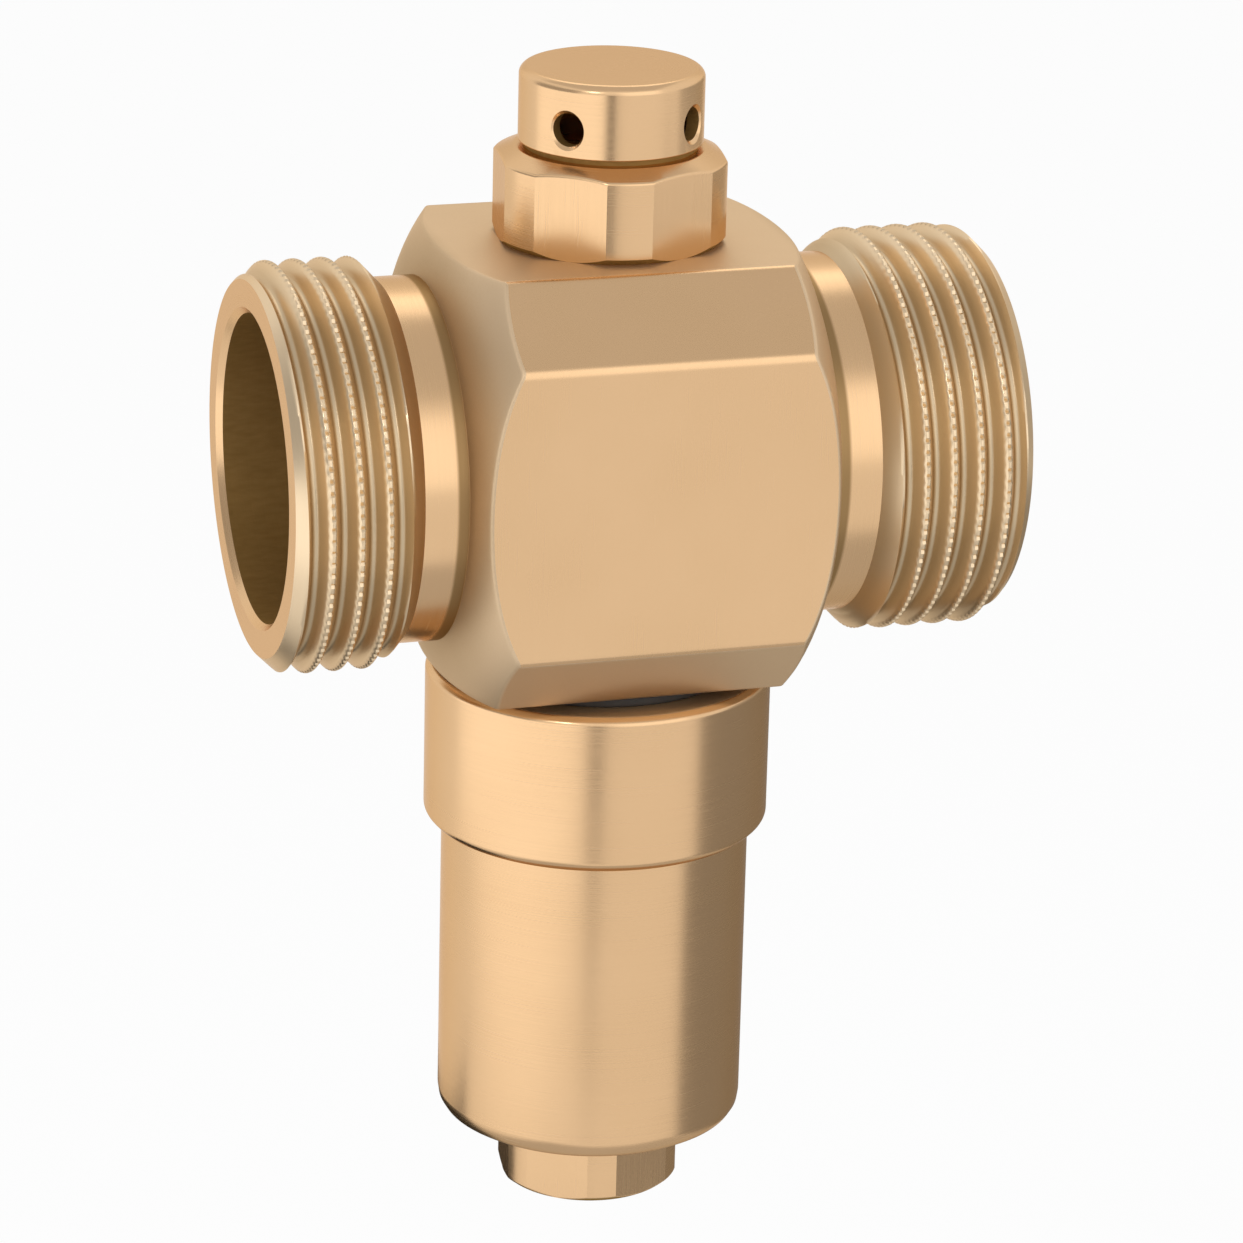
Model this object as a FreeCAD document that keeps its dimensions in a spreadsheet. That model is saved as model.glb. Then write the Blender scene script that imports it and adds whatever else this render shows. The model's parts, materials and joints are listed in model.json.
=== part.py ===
import FreeCAD, Part
import Sketcher
import math
import os
import re

# Anti-freeze drain valve for a G 1 pipe run, in millimetres.
# Origin: centre of the inlet end face. +X follows the flow, +Z points up.

# Driving dimensions: alias, value, meaning
SIZES = (
    ("thread_major", 33.25, "outside diameter of the G 1 pipe ends"),
    ("thread_wall", 4.125, "waterway wall to thread crest"),
    ("neck_relief", 1.825, "thread crest down to the plain neck"),
    ("neck_length", 3.6, "plain neck between shoulder and thread"),
    ("runout_length", 1.7, "cone from neck up to the thread"),
    ("inlet_thread_length", 10.5, "neck to inlet end face"),
    ("outlet_thread_length", 12.7, "neck to outlet end face"),
    ("lead_chamfer", 1.4, "chamfer at the free end of a thread"),
    ("mouth_chamfer", 0.5, "chamfer at the mouth of a bore"),
    ("body_wall", 5.25, "waterway to the flats of the block"),
    ("body_corner", 5.8, "chamfer along the corners of the block"),
    ("shoulder_length", 30.6, "length of the block between its necks"),
    ("dome_radius", 13.3, "turned dome on each end of the block"),
    ("dome_drop", 2.5, "dome's centre circle inside the neck"),
    ("thread_clearance", 0.05, "radial, between screwed pieces"),
    ("slide_clearance", 0.1, "radial, between sliding pieces"),
    ("seal_clearance", 0.05, "round a seal in its gland"),
    ("spigot_setback", 0.2, "spigots stop short of the waterway"),
    ("hex_turn", -6.75, "degrees, both hexagons from square"),
    ("hex_land", 0.5, "round left outside the flats of a hexagon"),
    ("breaker_port_dia", 13.2, "screwed port on top of the block"),
    ("breaker_ring", 1.0, "section of the breaker's sealing ring"),
    ("breaker_hex", 18.0, "breaker hexagon across flats"),
    ("breaker_hex_height", 7.5, "height of that hexagon"),
    ("breaker_crown_rise", 0.8, "turned crown above its flats"),
    ("breaker_crown_width", 1.75, "radial width of that crown"),
    ("breaker_bore_dia", 10.6, "bore of the breaker spigot"),
    ("breaker_seat_height", 1.85, "air seat above the hexagon's foot"),
    ("air_port_dia", 5.6, "hole through the air seat"),
    ("air_seat_wall", 1.6, "thickness of the air seat"),
    ("air_chamber_dia", 9.6, "chamber above the air seat"),
    ("cap_dia", 14.9, "cap of the breaker"),
    ("cap_height", 6.45, "height of the cap"),
    ("cap_wall", 1.2, "side wall of the cap"),
    ("cap_top", 1.4, "top wall of the cap"),
    ("cap_edge", 0.45, "chamfer round the cap's top"),
    ("cap_rebate", 0.45, "step cut round the cap's foot"),
    ("cap_collar_height", 1.2, "collar that the cap is pressed on"),
    ("cap_fit", 0.02, "radial, cap on its collar"),
    ("air_hole_dia", 2.7, "air holes round the cap"),
    ("air_hole_height", 2.65, "air holes above the cap's foot"),
    ("air_hole_turn", 45, "degrees, air holes from the run"),
    ("shutter_dia", 9.0, "air shutter"),
    ("shutter_thick", 1.2, "disc of the air shutter"),
    ("shutter_stem_dia", 2.4, "stem of the air shutter"),
    ("shutter_tail", 0.2, "stem below its guide"),
    ("shutter_seal_thick", 0.8, "seal on the air shutter"),
    ("shutter_seal_rim", 0.4, "seal inside the shutter's rim"),
    ("guide_thick", 1.4, "spider under the air shutter"),
    ("guide_inset", 0.3, "spider above the spigot's foot"),
    ("guide_hub_wall", 0.9, "hub wall of the spider"),
    ("guide_rim", 0.9, "rim of the spider"),
    ("breaker_wire", 0.4, "wire of the breaker spring"),
    ("breaker_coil_dia", 6.4, "breaker spring, centre of wire"),
    ("drain_port_dia", 19.9, "screwed port under the block"),
    ("collar_seal_thick", 0.8, "flat seal above the collar"),
    ("collar_seal_dia", 26.0, "outside of that seal"),
    ("collar_dia", 28.6, "drain collar"),
    ("collar_length", 13.4, "height of the collar"),
    ("collar_top_edge", 0.5, "chamfer round the collar's top"),
    ("collar_foot_edge", 0.6, "chamfer round the collar's foot"),
    ("collar_web", 5.0, "collar's top face down to its thread"),
    ("collar_hole_dia", 16.0, "water way through the collar"),
    ("coupling_dia", 22.6, "thread that joins collar and sleeve"),
    ("sleeve_dia", 25.6, "drain sleeve"),
    ("sleeve_length", 26.4, "sleeve below the collar"),
    ("sleeve_edge", 1.6, "round at the sleeve's foot"),
    ("groove_wall", 1.0, "sleeve left behind its ring groove"),
    ("sleeve_floor", 4.5, "bottom wall of the sleeve"),
    ("coupling_ring", 1.0, "section of the sleeve's sealing ring"),
    ("ring_shelf", 0.8, "land between shoulder and ring groove"),
    ("carrier_thick", 1.4, "disc that carries the wax element"),
    ("carrier_slot_root", 0.6, "disc left between bulb and slots"),
    ("carrier_slot_rim", 1.2, "sleeve bore to the slots"),
    ("bulb_dia", 11.0, "wax bulb"),
    ("bulb_length", 23.0, "wax bulb above its guide"),
    ("bulb_wall", 0.7, "wall of the wax bulb"),
    ("bulb_round", 1.8, "round at the top of the bulb"),
    ("guide_flange", 1.5, "flange of the piston guide"),
    ("guide_register", 1.2, "guide inside the bulb's mouth"),
    ("guide_neck_dia", 7.0, "screwed neck of the piston guide"),
    ("guide_nose", 4.0, "guide below the carrier"),
    ("nut_hex", 10.0, "element nut across flats"),
    ("nut_thick", 2.4, "element nut"),
    ("piston_dia", 3.0, "wax piston"),
    ("piston_inset", 4.4, "piston inside the guide, valve shut"),
    ("open_travel", 3.0, "lift of the drain obturator"),
    ("open_spare", 0.6, "gap left over when fully open"),
    ("cup_dia", 11.2, "cup of the obturator"),
    ("cup_wall", 1.2, "wall of that cup"),
    ("cup_floor", 1.6, "floor of that cup"),
    ("clip_inset", 0.8, "retaining ring below the cup's mouth"),
    ("clip_wire", 0.8, "thickness of the retaining ring"),
    ("clip_bite", 0.45, "ring inside its groove"),
    ("clip_gap", 2.6, "opening of the retaining ring"),
    ("clip_bore_dia", 6.4, "inside of the retaining ring"),
    ("pusher_thick", 1.8, "plate that the piston presses"),
    ("pusher_dimple", 0.6, "seat of the piston in that plate"),
    ("overtravel_wire", 0.8, "wire of the overtravel spring"),
    ("overtravel_play", 0.4, "radial, spring inside the cup"),
    ("wing_drop", 6.0, "guide flange below the cup's mouth"),
    ("wing_thick", 1.8, "guide flange of the obturator"),
    ("wing_rim", 1.0, "rim outside the flange's slots"),
    ("wing_root", 0.8, "flange left between cup and slots"),
    ("obturator_seal_thick", 2.0, "seal under the obturator"),
    ("obturator_seal_stand", 0.5, "seal proud of the obturator"),
    ("obturator_seal_rim", 0.7, "wall round that seal"),
    ("contrast_wire", 1.0, "wire of the contrast spring"),
    ("contrast_play", 0.9, "radial, spring inside the sleeve"),
    ("spring_seat", 0.1, "play at each end of a spring"),
    ("drain_bore_dia", 6.6, "bore of the drain nipple"),
    ("lip_wall", 1.0, "wall of the drain seat's lip"),
    ("lip_height", 5.3, "drain seat above the sleeve's floor"),
    ("lip_step", 1.2, "lip above the nipple's shoulder"),
    ("shank_dia", 10.6, "screwed shank of the drain nipple"),
    ("nipple_hex", 14.4, "drain nipple across flats"),
    ("nipple_hex_height", 6.2, "height of that hexagon"),
    ("nipple_edge", 0.75, "bevel round the nipple's foot"),
    ("nipple_ring", 0.9, "section of the nipple's sealing ring"),
)
# Turns of wire in the three springs, and holes or slots in each ring of them
BREAKER_TURNS, OVERTRAVEL_TURNS, CONTRAST_TURNS = 3, 4, 5
AIR_HOLES, GUIDE_SLOTS, CARRIER_SLOTS, WING_SLOTS = 4, 3, 4, 4
SLOT_FILL = 0.7
WIRE_SIDES = 6

doc = FreeCAD.newDocument("anti_freeze_valve")
sheet = doc.addObject("Spreadsheet::Sheet", "Sizes")
for row, (alias, value, meaning) in enumerate(SIZES, 1):
    sheet.set(f"A{row}", meaning)
    sheet.set(f"B{row}", str(value))
    sheet.setAlias(f"B{row}", alias)
doc.recompute()

WORDS = re.compile(r"\b(" + "|".join(alias for alias, _, _ in SIZES) + r")\b")
pieces = []


def bind(expression):
    """The expression with each alias addressed in the sheet."""
    return WORDS.sub(r"Sizes.\1", str(expression))


def number(expression):
    return float(sheet.evalExpression(bind(expression)))


# Places that several pieces share, worked out from the driving dimensions
thread_r = "(thread_major / 2)"
bore_r = f"({thread_r} - thread_wall)"
neck_r = f"({thread_r} - neck_relief)"
flat_r = f"({bore_r} + body_wall)"
neck_end = "(shoulder_length / 2 + neck_length)"
inlet_reach = f"({neck_end} + inlet_thread_length)"
outlet_reach = f"({neck_end} + outlet_thread_length)"

breaker_foot = flat_r
breaker_spigot = "(body_wall - spigot_setback)"
breaker_gland = "(breaker_ring + 2 * seal_clearance)"
shutter_top = "(breaker_seat_height - shutter_seal_thick)"
shutter_foot = f"({shutter_top} - shutter_thick)"
guide_foot = f"(guide_inset - {breaker_spigot})"
guide_top = f"({guide_foot} + guide_thick)"

collar_top = f"(-{flat_r} - collar_seal_thick)"
collar_spigot = "(body_wall + collar_seal_thick - spigot_setback)"
collar_foot = f"({collar_top} - collar_length)"
carrier_top = f"({collar_top} - collar_web)"
carrier_foot = f"({carrier_top} - carrier_thick)"
bulb_foot = f"({carrier_top} + guide_flange)"
nose_end = f"({carrier_foot} - guide_nose)"
ring_groove_r = "(coupling_dia / 2 - coupling_ring - 2 * seal_clearance)"
sleeve_bore_r = f"({ring_groove_r} - groove_wall)"
sleeve_foot = f"({collar_foot} - sleeve_length)"
floor_top = f"({sleeve_foot} + sleeve_floor)"
lip_top = f"({floor_top} + lip_height)"
cup_mouth = f"({nose_end} - open_travel - open_spare)"
cup_foot = f"({lip_top} + obturator_seal_stand)"
cup_bottom = f"({lip_top} + obturator_seal_thick + cup_floor)"
cup_r = "(cup_dia / 2 - cup_wall)"
clip_foot = f"({cup_mouth} - clip_inset - clip_wire)"
pusher_foot = f"({clip_foot} - pusher_thick)"
wing_foot = f"({cup_mouth} - wing_drop - wing_thick)"


def place(piece, height="0", turn="0"):
    """Stand a piece on the valve's upright axis and list it for export."""
    piece.Placement.Rotation = FreeCAD.Rotation(FreeCAD.Vector(0, 0, 1), number(turn))
    piece.setExpression("Placement.Rotation.Angle", bind(turn))
    piece.setExpression("Placement.Base.x", bind(inlet_reach))
    piece.setExpression("Placement.Base.z", bind(height))
    pieces.append(piece)


def new_body(label):
    return doc.addObject("PartDesign::Body", label)


def origin_feature(body, role):
    return next(f for f in body.Origin.OriginFeatures if f.Role == role)


def new_sketch(body, role, name):
    sketch = body.newObject("Sketcher::SketchObject", name)
    sketch.AttachmentSupport = [(origin_feature(body, role), "")]
    sketch.MapMode = "FlatFace"
    return sketch


def arc_centre(start, end, radius, side):
    """Centre of an arc, left of the way from start to end where side is 1."""
    chord = end - start
    middle = (start + end) / 2
    normal = FreeCAD.Vector(-chord.y, chord.x, 0).normalize()
    rise = math.sqrt(max(radius**2 - (chord.Length / 2) ** 2, 0))
    return middle + normal * rise * side


def add_outline(sketch, points, arcs=None):
    """A closed outline through points of expressions; arcs maps an edge to (radius, side)."""
    arcs = arcs or {}
    first = sketch.GeometryCount
    count = len(points)
    spots = [FreeCAD.Vector(number(u), number(v), 0) for u, v in points]
    ends = []
    for i, start in enumerate(spots):
        end = spots[(i + 1) % count]
        if i not in arcs:
            sketch.addGeometry(Part.LineSegment(start, end), False)
            ends.append((1, 2))
            continue
        radius, side = number(arcs[i][0]), arcs[i][1]
        centre = arc_centre(start, end, radius, side)
        low, high = (start, end) if side > 0 else (end, start)
        angles = [math.atan2(p.y - centre.y, p.x - centre.x) for p in (low, high)]
        circle = Part.Circle(centre, FreeCAD.Vector(0, 0, 1), radius)
        sketch.addGeometry(Part.ArcOfCircle(circle, *angles), False)
        ends.append((1, 2) if side > 0 else (2, 1))
    for i in range(count):
        after = (i + 1) % count
        link = (first + i, ends[i][1], first + after, ends[after][0])
        sketch.addConstraint(Sketcher.Constraint("Coincident", *link))
    for i, (point, spot) in enumerate(zip(points, spots)):
        vertex = (first + i, ends[i][0])
        for kind, expression, value in (("DistanceX", point[0], spot.x), ("DistanceY", point[1], spot.y)):
            k = sketch.addConstraint(Sketcher.Constraint(kind, -1, 1, *vertex, value))
            sketch.setExpression(f"Constraints[{k}]", bind(expression))
    for i, (radius, _) in arcs.items():
        k = sketch.addConstraint(Sketcher.Constraint("Radius", first + i, number(radius)))
        sketch.setExpression(f"Constraints[{k}]", bind(radius))


def add_circle(sketch, radius, centre=("0", "0")):
    """A circle whose radius and centre are expressions."""
    spot = FreeCAD.Vector(number(centre[0]), number(centre[1]), 0)
    up = FreeCAD.Vector(0, 0, 1)
    g = sketch.addGeometry(Part.Circle(spot, up, number(radius)), False)
    for kind, expression, value in (("DistanceX", centre[0], spot.x), ("DistanceY", centre[1], spot.y)):
        k = sketch.addConstraint(Sketcher.Constraint(kind, -1, 1, g, 3, value))
        sketch.setExpression(f"Constraints[{k}]", bind(expression))
    k = sketch.addConstraint(Sketcher.Constraint("Radius", g, number(radius)))
    sketch.setExpression(f"Constraints[{k}]", bind(radius))


def turn_feature(body, name, points, arcs=None, axis="V_Axis", cut=False):
    """Revolve an outline in the XZ plane about Z (V_Axis) or X (H_Axis), to add or to cut."""
    sketch = new_sketch(body, "XZ_Plane", f"{body.Label}_{name}")
    add_outline(sketch, points, arcs)
    kind = "PartDesign::Groove" if cut else "PartDesign::Revolution"
    feature = body.newObject(kind, f"{body.Label}_{name}_turned")
    feature.Profile = sketch
    feature.ReferenceAxis = (sketch, [axis])
    feature.Angle = 360
    return feature


def turned(label, points, arcs=None):
    body = new_body(label)
    turn_feature(body, "section", points, arcs)
    return body


def washer(label, inner, outer, thick):
    points = [(inner, "0"), (outer, "0"), (outer, thick), (inner, thick)]
    return turned(label, points)


def pocket_through(body, sketch, name, both_ways=True):
    """Cut a sketch's outlines right through the body, one way from the sketch or both."""
    doc.recompute()
    before = body.Shape.Volume
    pocket = body.newObject("PartDesign::Pocket", f"{body.Label}_{name}_cut")
    pocket.Profile = sketch
    pocket.Type = "ThroughAll"
    pocket.Midplane = both_ways
    doc.recompute()
    if body.Shape.Volume >= before:
        raise RuntimeError(f"{body.Label}: {name} cuts nothing")
    return pocket


def polar(body, feature, count):
    pattern = body.newObject("PartDesign::PolarPattern", f"{feature.Label}_pattern")
    pattern.Originals = [feature]
    pattern.Axis = (origin_feature(body, "Z_Axis"), [""])
    pattern.Angle = 360
    pattern.Occurrences = count
    body.Tip = pattern


def cut_hexagon(body, across, foot, height):
    """Mill six flats between two heights of a turned piece."""
    sketch = new_sketch(body, "XY_Plane", f"{body.Label}_flats")
    sketch.setExpression("AttachmentOffset.Base.z", bind(f"{foot} + {height}"))
    corner = f"{across} / sqrt(3)"
    turns = [f"(30 + {60 * k})" for k in range(6)]
    add_outline(sketch, [(f"{corner} * cos{a}", f"{corner} * sin{a}") for a in turns])
    add_circle(sketch, across)
    doc.recompute()
    before = body.Shape.Volume
    pocket = body.newObject("PartDesign::Pocket", f"{body.Label}_flats_cut")
    pocket.Profile = sketch
    pocket.setExpression("Length", bind(height))
    doc.recompute()
    if body.Shape.Volume >= before:
        raise RuntimeError(f"{body.Label}: the flats cut nothing")


def cut_slots(body, inner, outer, count):
    """Kidney slots between two radii, evenly round the axis."""
    sketch = new_sketch(body, "XY_Plane", f"{body.Label}_slot")
    half = SLOT_FILL * 180 / count
    points = [
        (f"{inner} * cos({half})", f"-{inner} * sin({half})"),
        (f"{outer} * cos({half})", f"-{outer} * sin({half})"),
        (f"{outer} * cos({half})", f"{outer} * sin({half})"),
        (f"{inner} * cos({half})", f"{inner} * sin({half})"),
    ]
    add_outline(sketch, points, {1: (outer, 1), 3: (inner, -1)})
    polar(body, pocket_through(body, sketch, "slot"), count)


def hex_section(across, foot, height, foot_bevel=None, top_bevel=None):
    """Outline points of the round that a hexagon is milled from; a bevel is its width and its rise."""
    land_r = f"({across} / 2 + hex_land)"
    foot_width, foot_rise = foot_bevel or ("hex_land", "hex_land")
    top_width, top_rise = top_bevel or ("hex_land", "hex_land")
    return [
        (f"{land_r} - {foot_width}", foot),
        (land_r, f"{foot} + {foot_rise}"),
        (land_r, f"{foot} + {height} - {top_rise}"),
        (f"{land_r} - {top_width}", f"{foot} + {height}"),
    ]


def round_section(ring_r, height, wire):
    """A round wire or cord section, faceted to keep the part light."""
    angles = [f"({360 * k / WIRE_SIDES})" for k in range(WIRE_SIDES)]
    return [(f"{ring_r} + {wire} / 2 * cos{a}", f"{height} + {wire} / 2 * sin{a}") for a in angles]


def spring(label, coil_dia, wire, foot, top, turns):
    """A coil of wire between two seats."""
    body = new_body(label)
    sketch = new_sketch(body, "XZ_Plane", f"{label}_wire")
    start = f"({wire} / 2 + spring_seat)"
    add_outline(sketch, round_section(f"{coil_dia} / 2", start, wire))
    coil = body.newObject("PartDesign::AdditiveHelix", f"{label}_coil")
    coil.Profile = sketch
    coil.ReferenceAxis = (sketch, ["V_Axis"])
    coil.Mode = "height-turns-angle"
    coil.Turns = turns
    coil.setExpression("Height", bind(f"({top}) - ({foot}) - 2 * {start}"))
    place(body, foot)


def sealing_ring(label, ring_r, section, height):
    place(turned(label, round_section(ring_r, "0", section)), height)


# Valve body: octagonal block with domed ends, threaded ends, waterway and two ports
def make_valve_body():
    body = new_body("valve_body")
    block = new_sketch(body, "YZ_Plane", "valve_body_block")
    side = f"({flat_r} - body_corner)"
    corners = [(flat_r, side), (side, flat_r)]
    corners += [(f"-{u}", v) for u, v in reversed(corners)]
    corners += [(f"-{u}" if u[0] != "-" else u[1:], f"-{v}") for u, v in corners]
    add_outline(block, corners)
    pad = body.newObject("PartDesign::Pad", "valve_body_block_pad")
    pad.Profile = block
    pad.Midplane = True
    pad.setExpression("Length", bind("shoulder_length"))

    dome_r = f"({neck_r} - dome_drop)"
    dome_x = "(shoulder_length / 2 - sqrt(dome_radius ^ 2 - dome_drop ^ 2))"
    clear_r = f"({dome_r} + dome_radius + body_wall)"
    for name, sign, turn in (("inlet", "-", -1), ("outlet", "", 1)):
        dome = [
            (f"{sign}(shoulder_length / 2)", neck_r),
            (f"{sign}{dome_x}", f"{dome_r} + dome_radius"),
            (f"{sign}{dome_x}", clear_r),
            (f"{sign}(shoulder_length / 2)", clear_r),
        ]
        turn_feature(body, f"{name}_dome", dome, {0: ("dome_radius", turn)}, "H_Axis", cut=True)

    spindle = [(f"-{inlet_reach}", "0")]
    for sign, reach in (("-", inlet_reach), ("", outlet_reach)):
        end = [
            (f"{sign}{reach}", f"{thread_r} - lead_chamfer"),
            (f"{sign}({reach} - lead_chamfer)", thread_r),
            (f"{sign}({neck_end} + runout_length)", thread_r),
            (f"{sign}{neck_end}", neck_r),
        ]
        spindle += end if sign else end[::-1]
    spindle.append((outlet_reach, "0"))
    turn_feature(body, "ends", spindle, axis="H_Axis")

    waterway = [
        (f"-{inlet_reach}", "0"),
        (f"-{inlet_reach}", f"{bore_r} + mouth_chamfer"),
        (f"-({inlet_reach} - mouth_chamfer)", bore_r),
        (f"{outlet_reach} - mouth_chamfer", bore_r),
        (outlet_reach, f"{bore_r} + mouth_chamfer"),
        (outlet_reach, "0"),
    ]
    turn_feature(body, "waterway", waterway, axis="H_Axis", cut=True)
    turn_feature(body, "air_port", [
        ("0", "0"),
        ("breaker_port_dia / 2", "0"),
        ("breaker_port_dia / 2", f"{flat_r} - {breaker_gland}"),
        (f"breaker_port_dia / 2 + {breaker_gland}", f"{flat_r} - {breaker_gland}"),
        (f"breaker_port_dia / 2 + {breaker_gland}", flat_r),
        ("0", flat_r),
    ], cut=True)
    turn_feature(body, "drain_port", [
        ("0", "0"),
        ("drain_port_dia / 2", "0"),
        ("drain_port_dia / 2", f"mouth_chamfer - {flat_r}"),
        ("drain_port_dia / 2 + mouth_chamfer", f"-{flat_r}"),
        ("0", f"-{flat_r}"),
    ], cut=True)
    place(body)


# Vacuum breaker: hexagon base with an air seat, pressed cap, and a sprung shutter under the seat
def make_breaker():
    port_r = "breaker_port_dia / 2"
    ring_height = f"{flat_r} - {breaker_gland} / 2"
    sealing_ring("breaker_seal", f"({port_r} + {breaker_gland} / 2)", "breaker_ring", ring_height)

    spigot_r = f"({port_r} - thread_clearance)"
    bore = "breaker_bore_dia / 2"
    collar_r = "cap_dia / 2 - cap_wall - cap_fit"
    collar_end = "breaker_hex_height + cap_collar_height"
    seat_top = "breaker_seat_height + air_seat_wall"
    crown = ("breaker_crown_width", "breaker_crown_rise")
    base = turned("breaker_base", [
        (bore, f"-{breaker_spigot}"),
        (f"{spigot_r} - mouth_chamfer", f"-{breaker_spigot}"),
        (spigot_r, f"mouth_chamfer - {breaker_spigot}"),
        (spigot_r, "0"),
        *hex_section("breaker_hex", "0", "breaker_hex_height", top_bevel=crown),
        (collar_r, "breaker_hex_height"),
        (collar_r, collar_end),
        ("air_chamber_dia / 2", collar_end),
        ("air_chamber_dia / 2", seat_top),
        ("air_port_dia / 2", seat_top),
        ("air_port_dia / 2", "breaker_seat_height"),
        (bore, "breaker_seat_height"),
    ])
    cut_hexagon(base, "breaker_hex", "0", "breaker_hex_height")
    place(base, breaker_foot, "hex_turn")

    inside = "cap_dia / 2 - cap_wall"
    cap = turned("breaker_cap", [
        (inside, "0"),
        ("cap_dia / 2 - cap_rebate", "0"),
        ("cap_dia / 2 - cap_rebate", "cap_rebate"),
        ("cap_dia / 2", "cap_rebate"),
        ("cap_dia / 2", "cap_height - cap_edge"),
        ("cap_dia / 2 - cap_edge", "cap_height"),
        ("0", "cap_height"),
        ("0", "cap_height - cap_top"),
        (inside, "cap_height - cap_top"),
    ])
    hole = new_sketch(cap, "XZ_Plane", "breaker_cap_air_hole")
    add_circle(hole, "air_hole_dia / 2", ("0", "air_hole_height"))
    polar(cap, pocket_through(cap, hole, "air_hole", both_ways=False), AIR_HOLES)
    place(cap, f"{breaker_foot} + breaker_hex_height", "air_hole_turn")

    stem_r = "shutter_stem_dia / 2"
    boss_top = "shutter_seal_thick / 2"
    shutter = turned("breaker_shutter", [
        ("0", f"{guide_foot} - {shutter_top} - shutter_tail"),
        (stem_r, f"{guide_foot} - {shutter_top} - shutter_tail"),
        (stem_r, "-shutter_thick"),
        ("shutter_dia / 2", "-shutter_thick"),
        ("shutter_dia / 2", "0"),
        (stem_r, "0"),
        (stem_r, boss_top),
        ("0", boss_top),
    ])
    place(shutter, f"{breaker_foot} + {shutter_top}")
    rim = "shutter_dia / 2 - shutter_seal_rim"
    ring = washer("shutter_seal", f"{stem_r} + seal_clearance", rim, "shutter_seal_thick")
    place(ring, f"{breaker_foot} + {shutter_top}")

    hub = f"{stem_r} + slide_clearance"
    guide = washer("breaker_guide", hub, f"{bore} - cap_fit", "guide_thick")
    cut_slots(guide, f"({hub} + guide_hub_wall)", f"({bore} - guide_rim)", GUIDE_SLOTS)
    place(guide, f"{breaker_foot} + {guide_foot}")
    spring(
        "breaker_spring", "breaker_coil_dia", "breaker_wire",
        f"{breaker_foot} + {guide_top}", f"{breaker_foot} + {shutter_foot}", BREAKER_TURNS,
    )


# Drain housing: collar screwed into the block, sleeve screwed into the collar
def make_housing():
    port_r = "drain_port_dia / 2"
    seal = washer("collar_seal", port_r, "collar_seal_dia / 2", "collar_seal_thick")
    place(seal, collar_top)

    spigot_r = f"({port_r} - thread_clearance)"
    outer = "collar_dia / 2"
    thread = "coupling_dia / 2"
    collar = turned("drain_collar", [
        ("collar_hole_dia / 2", collar_spigot),
        ("collar_hole_dia / 2", "-collar_web"),
        (thread, "-collar_web"),
        (thread, "mouth_chamfer - collar_length"),
        (f"{thread} + mouth_chamfer", "-collar_length"),
        (f"{outer} - collar_foot_edge", "-collar_length"),
        (outer, "collar_foot_edge - collar_length"),
        (outer, "-collar_top_edge"),
        (f"{outer} - collar_top_edge", "0"),
        (spigot_r, "0"),
        (spigot_r, f"{collar_spigot} - mouth_chamfer"),
        (f"{spigot_r} - mouth_chamfer", collar_spigot),
    ])
    place(collar, collar_top)

    tongue_r = f"({thread} - thread_clearance)"
    tongue = "(collar_length - collar_web - carrier_thick)"
    groove_top = "(ring_shelf + coupling_ring + 2 * seal_clearance)"
    sleeve = turned("drain_sleeve", [
        ("shank_dia / 2", "-sleeve_length"),
        ("sleeve_dia / 2 - sleeve_edge", "-sleeve_length"),
        ("sleeve_dia / 2", "sleeve_edge - sleeve_length"),
        ("sleeve_dia / 2", "0"),
        (tongue_r, "0"),
        (tongue_r, "ring_shelf"),
        (ring_groove_r, "ring_shelf"),
        (ring_groove_r, groove_top),
        (tongue_r, groove_top),
        (tongue_r, f"{tongue} - mouth_chamfer"),
        (f"{tongue_r} - mouth_chamfer", tongue),
        (sleeve_bore_r, tongue),
        (sleeve_bore_r, "sleeve_floor - sleeve_length"),
        ("shank_dia / 2", "sleeve_floor - sleeve_length"),
    ], {1: ("sleeve_edge", 1)})
    place(sleeve, collar_foot)
    ring_r = f"({thread} - coupling_ring / 2 - seal_clearance)"
    ring_height = f"{collar_foot} + ring_shelf + coupling_ring / 2 + seal_clearance"
    sealing_ring("sleeve_seal", ring_r, "coupling_ring", ring_height)


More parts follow.
